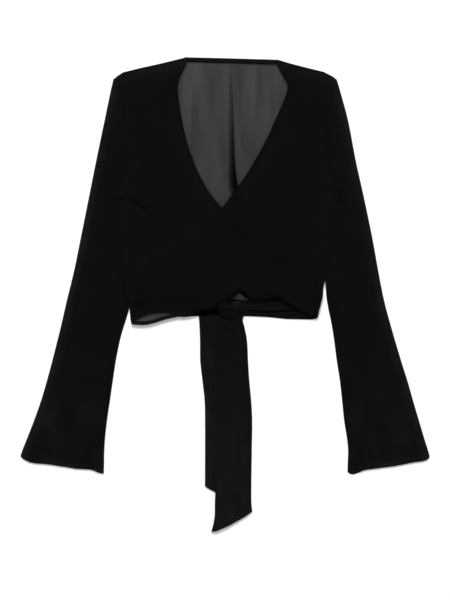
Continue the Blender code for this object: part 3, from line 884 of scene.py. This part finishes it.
# %% [markdown]
# Every panel starts as a flat grid, as cloth on the bolt does. Its vertices then move to their place
# on the pattern, and a Solidify modifier gives the sheet its thickness. The grid's own coordinates
# become the UV map, scaled to metres, so the weave follows the grain of the piece. Rows and columns
# crowd together where small creases need them.

# %% A grid with a grain


def grain_map(mesh, width, length):
    """Writes each corner's place on the grid into the UV map, in metres."""
    layer = mesh.loops.layers.uv.new("grain")
    for face in mesh.faces:
        for loop in face.loops:
            loop[layer].uv = (loop.vert.co.x * width * MM, loop.vert.co.y * length * MM)


def new_grid(acrosses, downs, width, length):
    """A grid whose lines stand at the given shares: the mesh, and each vertex with its shares."""
    columns, rows = len(acrosses) - 1, len(downs) - 1
    mesh = bmesh.new()
    mesh.verts.layers.float.new("sheen_and_tone")
    mesh.verts.layers.float.new("deep")
    bmesh.ops.create_grid(mesh, x_segments=columns, y_segments=rows, size=0.5)
    shares = []
    for vertex in mesh.verts:
        across = acrosses[round((vertex.co.x + 0.5) * columns)]
        down = downs[round((0.5 - vertex.co.y) * rows)]
        vertex.co = (across - 0.5, 0.5 - down, 0.0)
        shares.append((vertex, across, down))
    grain_map(mesh, width, length)
    return mesh, shares


def even(count):
    """Shares for count + 1 lines at an even pitch."""
    return [i / count for i in range(count + 1)]


def put(mesh, vertex, spot):
    """Moves a vertex to a laid place, and notes how deep it lies in a slot."""
    vertex.co = spot[:3]
    vertex[mesh.verts.layers.float["deep"]] = spot[3]


# %% [markdown]
# Where is the black paler? Along the outer folds of the sleeves and on the shoulders it is painted
# sheen. Towards the cuffs and on the hanging ends of the tie the tone is paler. It is patchy, and one
# cuff has a pale tip. We work it out from the place on the blouse, so that every piece that lies
# there, panel or hem, pales alike.

# %% Where the cloth is paler: painted sheen and paler tone
TIE_REACH, SLEEVE_FROM = 60.0, 160.0
SHORT_END_GREY, LONG_END_GREY = 0.30, 0.16
FOLD_PAINTED_SHEEN, SHOULDER_PAINTED_SHEEN = 0.62, 0.34
CUFF_TIP, TIP_SIZE = (-331.0, -221.0), 4.5


def sheen_and_tone_here(x, y):
    """How pale: painted sheen on shoulders and outer folds, a paler tone at cuffs and tie ends."""
    patchy = 0.75 + 0.6 * noise.noise(Vector((x / 12.0, y / 26.0, 12.0)))
    low = smoothstep(-y / 300.0)
    grey = 0.0
    if abs(x) < TIE_REACH and y < 0.0:
        end_grey = SHORT_END_GREY if x < -19.0 else LONG_END_GREY
        grey = (end_grey + 0.26 * low) * patchy
    elif abs(x) > SLEEVE_FROM:
        fold = abs(x - table(by_height(OUTER_RIGHT if x < 0 else OUTER_LEFT), y)[0])
        cloudy = 0.9 + 1.1 * noise.noise(Vector((x / 30.0, y / 45.0, 4.0)))
        # Painted sheen along the outer fold, on a tone that gets paler towards the cuff.
        grey = (0.06 + 0.24 * low) * cloudy + FOLD_PAINTED_SHEEN * patchy * math.exp(-((fold / 12.0) ** 2))
        grey = max(grey, math.exp(-(math.dist((x, y), CUFF_TIP) / TIP_SIZE) ** 2))
    drop = below_top(x, y)
    if drop is not None and y > 360.0:
        # Painted sheen on the shoulder slopes.
        grey = max(grey, SHOULDER_PAINTED_SHEEN * patchy * math.exp(-((drop / 17.0) ** 2)))
    return max(grey, 0.0)


print("greyed at the right cuff's tip:", round(sheen_and_tone_here(*CUFF_TIP), 2))

# %% [markdown]
# The last step is the same for every piece. It takes the painted sheen and paler tone for each vertex,
# moves the mesh from our millimetres to the model's metres, turns the faces outwards, and gives the
# sheet its wall.
# The object itself stays at the origin. Then the piece takes its finish, is hung on the empty of the
# body that it rides on, and hides the part of the rigid model that it stands for.

# %% From a mesh to a piece of the blouse


def make_piece(name, mesh, material, replaced=(), thick=THIN):
    """Makes a laid mesh a piece of the blouse, with a wall unless it has its own thickness."""
    # Each vertex gets its painted sheen and paler tone from its place on the blouse.
    mottle = mesh.verts.layers.float["sheen_and_tone"]
    for vertex in mesh.verts:
        vertex[mottle] = sheen_and_tone_here(vertex.co.x, vertex.co.y)
        vertex.co = (vertex.co + Vector((shift_x, shift_y, 0.0))) * MM
    bmesh.ops.recalc_face_normals(mesh, faces=mesh.faces)
    data = bpy.data.meshes.new(name)
    mesh.to_mesh(data)
    mesh.free()
    data.shade_smooth()
    data.materials.append(material)
    made = bpy.data.objects.new(name, data)
    bpy.context.scene.collection.objects.link(made)
    if thick:
        wall = made.modifiers.new("wall", "SOLIDIFY")
        wall.thickness = thick * MM
        wall.offset = 0.0
    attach(made, "root")
    if replaced:
        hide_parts(*replaced)
    print(f"{name}: {len(data.polygons)} faces")
    return made


def panel(name, place, acrosses, downs, lay, size, material, replaced=()):
    """A grid between four edges, laid by a function: size is the grid's, in millimetres."""
    mesh, shares = new_grid(acrosses, downs, *size)
    for vertex, across, down in shares:
        put(mesh, vertex, lay(*place(across, down)))
    return make_piece(name, mesh, material, replaced)


# %% [markdown]
# The back is one piece from the shoulders to the hem. Down its centre the cloth has lapped over
# itself: a fold that leans more and more to one side, until three layers lie under its sharp edge.
# The columns stand closest there.

# %% Back panel
right_edge = curve(ARMHOLE_RIGHT + SIDE_RIGHT + SIDE_RIGHT_FREE)
left_edge = curve(ARMHOLE_LEFT + SIDE_LEFT + SIDE_LEFT_FREE)
back_top = straight(SHOULDER_RIGHT + NECK_BACK[1:] + SHOULDER_LEFT[1:])
back = panel(
    "back_cloth", spread(right_edge, left_edge, back_top, straight(HEM_BACK)),
    crowded(170, (0.52, 0.045, 6.0), (0.33, 0.03, 1.5)), crowded(130, (0.97, 0.05, 1.0)),
    lay_back, (355, 430), sheer, ["back_panel"],
)

# %% [markdown]
# The fronts are cut with a long slanting edge from the shoulder past the middle to the far side. The
# wearer's right front lies over the left one. Its hem rises to a small notch above the knot. There
# the left front's own hem shows for a short stretch, and the rest of it stays hidden.

# %% Fronts
UNDER_HEM = [
    (-152, 15), (-135, 17), (-100, 20), (-60, 18), (-40, 22), (-15, 26), (2, 27.5), (13, 30.5),
    (17, 35), (22, 42.5), (28, 53), (45, 49), (65, 45), (86, 49), (100, 42), (127, 27), (156.8, 20.6),
]
over_edge = curve(ARMHOLE_RIGHT + SIDE_RIGHT + [(-156.5, 4), (-155, -5)])
over_front = panel(
    "over_front_cloth",
    spread(over_edge, curve(NECK_OVER), straight(SHOULDER_RIGHT), straight(HEM_FRONT)),
    crowded(150, (0.0, 0.12, 1.2), (0.72, 0.12, 1.2)),
    crowded(190, (0.93, 0.07, 2.2), (0.50, 0.06, 1.6)),
    lay_over, (330, 430), close, ["front_over_right"],
)
under_front = panel(
    "under_front_cloth",
    spread(curve(NECK_UNDER), curve(ARMHOLE_LEFT + SIDE_LEFT + SIDE_LEFT_FREE[:4]),
           straight(SHOULDER_LEFT), straight(UNDER_HEM)),
    crowded(130, (1.0, 0.15, 1.4)), crowded(170, (0.50, 0.05, 1.4), (0.72, 0.08, 1.2)),
    lay_under, (330, 430), close, ["front_under_left"],
)

# %% [markdown]
# A sleeve is a tube pressed flat. The grid goes round it: from the seam under the arm across the
# under layer, round the outer fold, and back across the upper layer. Below the armpit the two ends
# meet and are welded, as the seam would join them. Above it they stay apart, along the armhole. The
# ends of the tie are tubes too, folded at one edge; the long end is joined at the other, and the short
# one is left open there, so one function makes them all.

# %% A tube of cloth, pressed flat
FOLD_ROUND = 0.45
LAP = 1.2


def cuff_gap(x, y):
    """How far the left cuff's upper layer is drawn up: two small scallops by its inner corner."""
    lobes = math.exp(-(((x - 207.0) / 3.2) ** 4)) + math.exp(-(((x - 217.2) / 3.6) ** 4))
    return 5.0 * lobes * smoothstep((-236.0 - y) / 14.0)


def tube(
    name, place, columns, downs, low, high, size, joined_from, material, replaced,
    lay=None, dark=None,
):
    """Cloth folded at its first edge, and joined at the other from a share down.

    Low and high give the heights of its two layers, lay holds the creases of the upper one, and dark
    says how much painted shade each point gets in a hollow.
    """
    around = 2 * columns + 4
    mesh, shares = new_grid(even(around), downs, *size)
    seam = []
    for vertex, turn, down in shares:
        step = round(turn * around)
        joined = down >= joined_from
        at_fold, at_seam = step == columns + 2, step in (0, around)
        upper = step > columns + 2
        from_fold = (step - columns - 3 if upper else columns + 1 - step) / columns
        from_fold = 0.0 if at_fold else min(max(from_fold, 0.0), 1.0)
        x, y = place(from_fold, down)
        inward = math.copysign(1.0, place(0.5, down)[0] - x)
        bottom, top = low(x, y, from_fold), high(x, y, from_fold)
        z = top if upper else bottom
        if at_fold or (at_seam and joined):
            z = (top + bottom) / 2
            x += inward * THIN / 2
        elif from_fold == 0.0 or (from_fold == 1.0 and joined):
            x += inward * FOLD_ROUND
        elif at_seam:
            x -= inward * LAP
        spot = x, y, z, dark(x, y) if dark else 0.0
        if upper and lay and not at_fold:
            spot = settled(x, y + cuff_gap(x, y), creased(lay, x, y), z)
        put(mesh, vertex, spot)
        if at_seam:
            seam.append(vertex)
    bmesh.ops.remove_doubles(mesh, verts=seam, dist=0.01)
    return make_piece(name, mesh, material, replaced)


# %% [markdown]
# A sleeve is fullest along its middle. It thins to the fold on its outer side and to the seam on its
# inner side, and near the cuff it lies almost flat. Both are pressed pieces of the same pattern, so
# one function makes them from their outlines.

# %% Sleeves
OUTER_RUN = 15.0
CUFF_START, CUFF_RUN = -206.0, 36.0


def sleeve_parts(armhole, side, inner, outer, cuff):
    """The place of a sleeve's points, its upper height, and where its seam starts."""
    seam = armhole + side + inner
    place = spread(
        curve(outer), curve(seam), straight([outer[0], armhole[0]]), straight(cuff), pull=9
    )
    joined_from = marks_along(armhole + side[:1])[-1] / marks_along(seam)[-1]
    outer_side, inner_side = by_height(outer), by_height(seam)

    def high(x, y, _=None):
        out, inn = table(outer_side, y)[0], table(inner_side, y)[0]
        from_outer, from_inner = abs(x - out), abs(x - inn)
        hold = seam_hold(y)
        filled = smoothstep(from_outer / OUTER_RUN) * shoulder_fall(x, y)
        reach = 16.0 if y > side[-1][1] else 12.0
        filled *= hold + (1.0 - hold) * smoothstep(from_inner / reach)
        near_cuff = smoothstep((CUFF_START - y) / CUFF_RUN)
        filled *= 1.0 - 0.88 * near_cuff
        return level(1) - 0.45 - 0.4 * near_cuff + (0.45 + soft_rise(x, y)) * filled

    return place, high, joined_from


def sleeve(name, parts, downs, replaced):
    """A sleeve on the table, with its creases on the upper layer."""
    place, high, joined_from = parts
    return tube(
        name, place, 44, downs, lambda *_: level(0), high, (230, 650), joined_from, close, replaced,
        all_creases,
    )


right_parts = sleeve_parts(ARMHOLE_RIGHT, SIDE_RIGHT, INNER_RIGHT, OUTER_RIGHT, CUFF_RIGHT)
left_parts = sleeve_parts(ARMHOLE_LEFT, SIDE_LEFT, INNER_LEFT, OUTER_LEFT, CUFF_LEFT)
sleeve_downs = crowded(230, (0.30, 0.04, 1.5), (0.16, 0.12, 0.8), (0.99, 0.03, 1.5))
sleeve_right = sleeve("sleeve_right_cloth", right_parts, sleeve_downs, ["sleeve_right"])
sleeve_left = sleeve("sleeve_left_cloth", left_parts, sleeve_downs, ["sleeve_left"])

# %% [markdown]
# The tie is a long strip, folded double and turned, so it is dense and black. Its two ends hang
# below the hem, the longer one on top. Soft gathers run down from the knot and die away. Beside the
# knot the ends sink into a hollow under the front's hem, which lies in deep shade; that shade is
# painted into the cloth's colour there, and into the knot's slots.

# %% Tie: the two ends
LONG_LEFT = [
    (-19, 13), (-18, -90), (-16, -285), (-16.7, -301), (-17.2, -327), (-20, -343), (-22.8, -352.5),
]
LONG_RIGHT = [
    (31, 6), (29, -3), (31.8, -14), (36.3, -37), (38, -70), (40.1, -103), (43.2, -136),
    (44.9, -169), (44.4, -210), (43.4, -300), (45, -319.5),
]
LONG_END = [(-22.8, -352.5), (-14.7, -351.8), (4.6, -343.5), (31.4, -328.7), (45, -319.5)]
SHORT_LEFT = [
    (-44, 9), (-42.6, -4), (-41.3, -37), (-40.9, -70), (-37.3, -103), (-33.7, -136),
    (-33, -169), (-33, -250), (-33.2, -277),
]
SHORT_RIGHT = [(-13, 13), (-10, -69), (-5, -148), (-4, -292)]
SHORT_END = [(-33.2, -277), (-28, -281), (-15.3, -287), (-4, -291)]
HOLLOW_END = 4.0
TIE_CLIMB, OVER_SHORT = 1.9, 1.9
KNOT_CREASES = framed([
    ([(-16, 13.4), (-8, 13.8), (0, 14.2), (7.5, 14.6)], 0, 1.4, 1.4, 0, 2.0),
    ([(-13, 6.4), (-8.3, 4.1), (2.3, -0.5), (10.4, -6.3), (13, -8.6)], 0, 2.0, 2.0, 0, 2.4),
    ([(10, -0.6), (15, -1.3), (21.5, -1.9)], 0, 1.1, 1.1, 0, 1.5),
    ([(23.4, 12), (24.4, 9.4), (24.8, 6.6)], 0, 1.1, 1.1, 0, 1.6),
])


def hollow(x, y):
    """How much painted shade a point of the tie gets, in the hollow by the knot or a slot, 0 to 1."""
    upper = smoothstep((y - 3.0) / 2.2) * smoothstep((17.0 - y) / 3.0)
    beside = upper * smoothstep((-6.5 - x) / 3.5) * smoothstep((x + 62.0) / 16.0)
    return max(beside, creased(KNOT_CREASES, x, y)[3])


def tail_rise(x, y):
    """The ends climb towards the knot and then sink into the hollow: the climb, and how deep."""
    climb = TIE_CLIMB * smoothstep((y + 30.0) / 26.0)
    deep = smoothstep((y - HOLLOW_END + 3.0) / 4.0) * smoothstep((2.0 - x) / 10.0)
    return climb * (1.0 - deep), deep


def short_low(x, y, _):
    """The height of the short end's lower layer, which lies on the table."""
    return level(0) + tail_rise(x, y)[0]


def short_high(x, y, _):
    """The height of its upper layer."""
    climb, deep = tail_rise(x, y)
    return level(0) + climb + (0.8 + 0.6 * ease(x, y, 7.0)) * (1.0 - 0.55 * deep)


def long_low(x, y, from_fold):
    """The long end rises over the short one, and has pleats near the knot."""
    climb, deep = tail_rise(x, y)
    past = max(x - SHORT_RIGHT[-1][0] - 2.0, SHORT_END[-1][1] - 3.0 - y)
    over_short = OVER_SHORT * (1.0 - smoothstep(past / EASE)) * (1.0 - 0.55 * deep)
    near_knot = smoothstep((y + 120.0) / 120.0)
    pleats = 1.3 * near_knot * math.sin(math.pi * (3.2 * from_fold + 0.25 * ease(x, y, 2.0))) ** 2
    curl = 1.6 * smoothstep((-300.0 - y) / 50.0)
    return level(0) + climb + over_short + pleats * (1.0 - deep) + curl


def long_high(x, y, from_fold):
    """Its upper layer, fullest along the middle."""
    filled = smoothstep(min(from_fold, 1.0 - from_fold) * 62 / 8.0)
    return long_low(x, y, from_fold) + 0.6 + (0.3 + 0.9 * ease(x, y, 8.0)) * filled


def tail_place(left, right, end):
    """A place for shares across and down an end of the tie."""
    return spread(curve(left), curve(right), straight([left[0], right[0]]), straight(end), pull=9)


short_place = tail_place(SHORT_LEFT, SHORT_RIGHT, SHORT_END)
long_place = tail_place(LONG_LEFT, LONG_RIGHT, LONG_END)
tail_short = tube(
    "tie_end_short", short_place, 12, crowded(100, (0.0, 0.06, 3.0)), short_low, short_high,
    (80, 300), 2.0, turned, ["tie_tail_short"], dark=hollow,
)
tail_long = tube(
    "tie_end_long", long_place, 26, crowded(150, (0.0, 0.06, 3.0), (1.0, 0.03, 2.0)), long_low,
    long_high, (124, 360), -1.0, turned, ["tie_tail_long"], dark=hollow,
)

# %% [markdown]
# Round the waist the tie is crushed into soft pleats. The part that shows runs from the notch to the
# side, under the front's slanting hem, with one deep fold along it. Its rolled top edge crosses the
# notch like a cord, with a slit of the sheer back showing under it.

# %% Tie: the gathered band
BAND_TOP = [
    (-58, 7), (-42, 13), (-20, 18), (-6, 24.5), (9, 26.4), (11.6, 24.4), (24, 24.2), (27, 27),
    (34, 28), (46, 29), (60, 33), (72, 37), (84, 41), (111, 25), (148, 3),
]
BAND_BOTTOM = [
    (-58, 4), (-42, 6), (-20, 8), (10, 8), (30, 5), (51, 4.4), (74, 3.4), (100.7, 0.6), (127, 0),
    (148, -0.6),
]
BAND_CREASES = framed([
    ([(28, 16), (46, 14.6), (58, 13.4), (77, 13), (92, 13.6), (107, 16), (120, 18)],
     1.3, 6, 2.4, 0.8, 0),
    ([(34, 13.2), (46, 11), (58, 10.2), (77, 10), (92, 10.8), (104, 12.6), (112, 15)],
     0, 1.9, 1.9, 0, 2.4),
    ([(50, 24), (70, 27), (90, 25), (108, 19)], 0.8, 4, 3, 0.4, 0),
    ([(40, 20), (66, 19.5), (90, 19.5), (112, 18)], 0.7, 4, 2.4, 0.3, 0),
    ([(96, 8), (118, 6.5), (140, 2.5)], 0.8, 4, 2.5, 0.3, 0),
    ([(-36, 15), (-16, 17), (4, 17)], 0.8, 5, 3, 0.3, 0),
])


def lay_band(x, y):
    """The band between back and fronts, with fine rucks, and painted shade in its fold's slot and the
    hollow.
    """
    dx, dy, dz, deep = creased(BAND_CREASES, x, y)
    ruck = 0.2 * (1.0 + math.sin(0.75 * y - 0.05 * x + 2.0 * ease(x, y, 6.0)))
    z = max(level(1) + 0.1 + ruck + dz, level(0) + 0.5)
    return x + dx, y + dy, z, max(deep, hollow(x, y))


band_place = spread(
    curve([BAND_TOP[0], BAND_BOTTOM[0]]), curve([BAND_TOP[-1], BAND_BOTTOM[-1]]),
    straight(BAND_TOP), straight(BAND_BOTTOM), pull=1,
)
tie_band = panel(
    "tie_waist_cloth", band_place, even(170), even(34), lay_band, (190, 62), turned, ["tie_waist"]
)

# %% [markdown]
# The knot is one turn of the strip over the other. The tucked part comes in from the left and the
# wrap lies over it, so each is a small pillow between four edges, with pleats along its pull.

# %% Tie: the knot
TUCK_TOP = [(-17, 17), (-9, 24), (0, 27), (8, 27.4), (10.6, 25), (18, 23)]
TUCK_BOTTOM = [(-13, 8), (-7, 4.5), (2, -1.5), (11, -6.5), (18, -9)]
WRAP_TOP = [(9.5, 23), (20, 23.6), (31, 24.4)]
WRAP_BOTTOM = [(7, -5), (17, -8), (30, 0)]


def pillow(top, bottom, floor, tall, pleats, slant):
    """A place, a height and painted shade for a small stuffed piece between two edges."""
    place = spread(
        curve([top[0], bottom[0]]), curve([top[-1], bottom[-1]]), curve(top), curve(bottom), pull=1
    )

    def shape(across, down):
        x, y = place(across, down)
        round_across = max(1.0 - (2 * across - 1) ** 2, 0.0) ** 0.8
        round_down = max(1.0 - (2 * down - 1) ** 4, 0.0) ** 0.6
        stuffed = round_across * round_down
        pleat = math.sin(math.pi * (pleats * down + slant * across)) ** 2
        sunk = creased(KNOT_CREASES, x, y)[2]
        return x, y, floor + stuffed * (tall + 0.9 * pleat) + 0.3 * sunk, hollow(x, y)

    return shape


def small_piece(name, shape, columns, rows, size, replaced=()):
    """A grid whose shape is a function of its shares."""
    mesh, shares = new_grid(even(columns), even(rows), *size)
    for vertex, across, down in shares:
        put(mesh, vertex, shape(across, down))
    return make_piece(name, mesh, turned, replaced)


tuck_shape = pillow(TUCK_TOP, TUCK_BOTTOM, 2.4, 3.2, 3.0, 0.6)
wrap_shape = pillow(WRAP_TOP, WRAP_BOTTOM, 2.2, 4.4, 0.5, 3.2)
small_piece("tie_knot_tuck", tuck_shape, 44, 44, (60, 62))
small_piece("tie_knot_wrap", wrap_shape, 44, 56, (62, 60), ["tie_knot"])

# %% [markdown]
# The band's rolled edge is a narrow ribbon that follows a line. Hems, bindings and seams are ribbons
# as well, so we write the helper once: it walks along the line, steps out to one side, and asks the
# cloth below how high it lies there. A slight arch keeps the ribbon from looking like tape.

# %% Tie: the rolled edge across the notch
LEFT_OF, RIGHT_OF = 1.0, -1.0  # sides of a line's direction
ARCH = 0.25
STRAND = [(-20, 23), (-5, 28), (11.6, 30.2), (24.8, 30.5), (38, 29.8), (54, 28.6)]


def along_line(line, lay, width, side, lift):
    """A function from shares along and out of a line to a point just above a laid cloth."""

    def at(along, out):
        here = Vector(line(along))
        run = Vector(line(min(along + 0.004, 1.0))) - Vector(line(max(along - 0.004, 0.0)))
        run.normalize()
        out_way = Vector((-run.y, run.x)) * side
        x, y, z, deep = lay(*(here + out_way * width * out))
        return x, y, z + lift + ARCH * math.sin(math.pi * out), deep

    return at


def ribbon(name, line, lay, width, side, steps, material, replaced=(), lift=0.42):
    """A strip that follows a line on a laid cloth: a hem, a binding or a rolled edge."""
    at = along_line(line, lay, width, side, lift)
    mesh, shares = new_grid(even(steps), even(4), 400, width)
    for vertex, along, out in shares:
        put(mesh, vertex, at(along, out))
    return make_piece(name, mesh, material, replaced)


def lay_strand(x, y):
    """The rolled edge rides up on the knot's tuck, over the under front's hem."""
    return x, y, level(1) + 0.1 + 1.7 * smoothstep((14.0 - x) / 8.0), 0.0


strand = ribbon("tie_strand", curve(STRAND), lay_strand, 3.6, RIGHT_OF, 60, turned)

# %% [markdown]
# Narrow hems finish every edge: the cloth is turned twice and stitched, which makes three layers
# where there was one. A ribbon that follows the edge on top of its panel gives that darker line.

# %% Hems and bindings
BINDING_WIDE, NECK_HEM_WIDE, FRONT_HEM_WIDE, BACK_HEM_WIDE = 8.0, 4.0, 4.2, 6.4
neck_line = straight([(-62.5, 430), (0, 428.5), (85.5, 426)])
over_neck, under_neck = curve(NECK_OVER), curve(NECK_UNDER)
over_hem_line = straight(HEM_FRONT)
binding = ribbon(
    "neck_binding_cloth", neck_line, lay_back, BINDING_WIDE, RIGHT_OF, 90, turned,
    ["neck_binding_back"], 0.6,
)
back_hem = ribbon("back_hem", straight(HEM_BACK), lay_back, BACK_HEM_WIDE, LEFT_OF, 150, turned)
front_hem = ribbon("over_front_hem", over_hem_line, lay_over, FRONT_HEM_WIDE, LEFT_OF, 220, turned)
over_neck_hem = ribbon(
    "over_front_edge", over_neck, lay_over, NECK_HEM_WIDE, RIGHT_OF, 260, close
)
under_neck_hem = ribbon(
    "under_front_edge", under_neck, lay_under, NECK_HEM_WIDE, LEFT_OF, 260, close
)

# %% [markdown]
# Above the tie the fronts' hem rolls forward, and its inner side shows below the edge in shade. That
# shade is painted: the strip turns near black, broad beside the notch and along the slanting end, and
# in between the line nearly closes. A table says how dark the painted shade is along the way.

# %% The inner side of the fronts' hem
HEM_OVERLAP, HEM_DROP = 0.6, 0.34
INSIDE_SHADE = [  # x, how dark the painted shade on the inner side of the hem is there
    (-80, 1.0), (-20, 0.8), (-8, 0.5), (8, 0.6), (16, 0.9), (40, 1.0), (48, 0.5), (54, 0.1),
    (64, 0.1), (69, 0.9), (102, 1.0), (108, 0.6), (147, 0.5),
]
hem_height = height_along(HEM_FRONT)


def lay_inside(x, y):
    """Just below the front's edge at the same x, with painted shade from the table."""
    z = lay_over(x, hem_height(x))[2] - HEM_DROP
    return x, y, z, table_across(INSIDE_SHADE, x)[0]


def inside_place(across, down):
    """From just behind the front's hem down to the inner side's own edge."""
    x, low = straight(HEM_INSIDE)(across)
    top = hem_height(x) + HEM_OVERLAP
    return x, top + (low - top) * down


hem_inside = panel(
    "over_front_hem_inside", inside_place, even(240), even(5), lay_inside, (230, 5), turned
)

# %% [markdown]
# The cuffs are hemmed too. A ribbon there has to follow the sleeve's upper layer with its creases, so
# a small function makes the laying function of each sleeve from its parts.

# %% Hems of the cuffs
CUFF_HEM_WIDE = 6.0


def upper_of(parts):
    """How the upper layer of a sleeve lies."""

    def lay(x, y):
        return settled(x, y + cuff_gap(x, y), creased(all_creases, x, y), parts[1](x, y))

    return lay


upper_right, upper_left = upper_of(right_parts), upper_of(left_parts)
cuff_hem_right = ribbon(
    "cuff_hem_right", straight(CUFF_RIGHT), upper_right, CUFF_HEM_WIDE, LEFT_OF, 90, close
)
cuff_hem_left = ribbon(
    "cuff_hem_left", straight(CUFF_LEFT), upper_left, CUFF_HEM_WIDE, RIGHT_OF, 90, close
)

# %% [markdown]
# The sleeves are sewn in with a narrow seam, which stands up a little along each armhole, and the
# shoulders are closed with another. Each is a thin ribbon on top of the cloth.

# %% Seams
ARMHOLE_SEAM_WIDE, SHOULDER_SEAM_WIDE, SEAM_LIFT = 1.4, 2.6, 0.3


def seam(name, line, lay, width, side, steps):
    """A narrow ribbon that stands up less than a hem."""
    return ribbon(name, line, lay, width, side, steps, close, lift=SEAM_LIFT)


seams = [
    seam("armhole_seam_right", curve(ARMHOLE_RIGHT), upper_right, ARMHOLE_SEAM_WIDE, RIGHT_OF, 90),
    seam("armhole_seam_left", curve(ARMHOLE_LEFT), upper_left, ARMHOLE_SEAM_WIDE, LEFT_OF, 90),
]
shoulder_seams = [
    seam("shoulder_seam_right", straight(SHOULDER_RIGHT), lay_over, SHOULDER_SEAM_WIDE, RIGHT_OF, 70),
    seam("shoulder_seam_left", straight(SHOULDER_LEFT), lay_under, SHOULDER_SEAM_WIDE, RIGHT_OF, 70),
]

# %% [markdown]
# The hems are stitched with black thread, close to their inner edge. A stitch is a small ellipsoid,
# half sunk into the cloth, and a whole row is one mesh.

# %% Stitches
STITCH_PITCH, STITCH_LONG, STITCH_THICK = 2.6, 0.85, 0.15
STITCH_LIFT, STITCH_MARGIN = 0.62, 0.8


def stitch_row(name, points, lay, hem_wide, side, smooth=False):
    """Stitches at an even pitch along a hem, a margin inside its inner edge."""
    line = curve(points) if smooth else straight(points)
    inset = hem_wide - STITCH_MARGIN
    count = round(marks_along(points)[-1] / STITCH_PITCH)
    mesh = bmesh.new()
    mesh.verts.layers.float.new("sheen_and_tone")
    for i in range(count):
        share = (i + 0.5) / count
        run = (Vector(line(share + 0.2 / count)) - Vector(line(share - 0.2 / count))).normalized()
        x, y, z, _ = lay(*(Vector(line(share)) + Vector((-run.y, run.x)) * side * inset))
        turn = Matrix.Rotation(math.atan2(run.y, run.x), 4, "Z")
        size = Matrix.Diagonal((STITCH_LONG, STITCH_THICK, STITCH_THICK, 1.0))
        place = Matrix.Translation((x, y, z + STITCH_LIFT)) @ turn @ size
        bmesh.ops.create_uvsphere(mesh, u_segments=6, v_segments=4, radius=1.0, matrix=place)
    return make_piece(name, mesh, thread, thick=0)


stitched = [
    stitch_row("stitches_over_edge", NECK_OVER, lay_over, NECK_HEM_WIDE, RIGHT_OF, smooth=True),
    stitch_row("stitches_under_edge", NECK_UNDER, lay_under, NECK_HEM_WIDE, LEFT_OF, smooth=True),
    stitch_row("stitches_front_hem", HEM_FRONT, lay_over, FRONT_HEM_WIDE, LEFT_OF),
    stitch_row("stitches_back_hem", HEM_BACK, lay_back, BACK_HEM_WIDE, LEFT_OF),
    stitch_row("stitches_cuff_right", CUFF_RIGHT, upper_right, CUFF_HEM_WIDE, LEFT_OF),
    stitch_row("stitches_cuff_left", CUFF_LEFT, upper_left, CUFF_HEM_WIDE, RIGHT_OF),
]
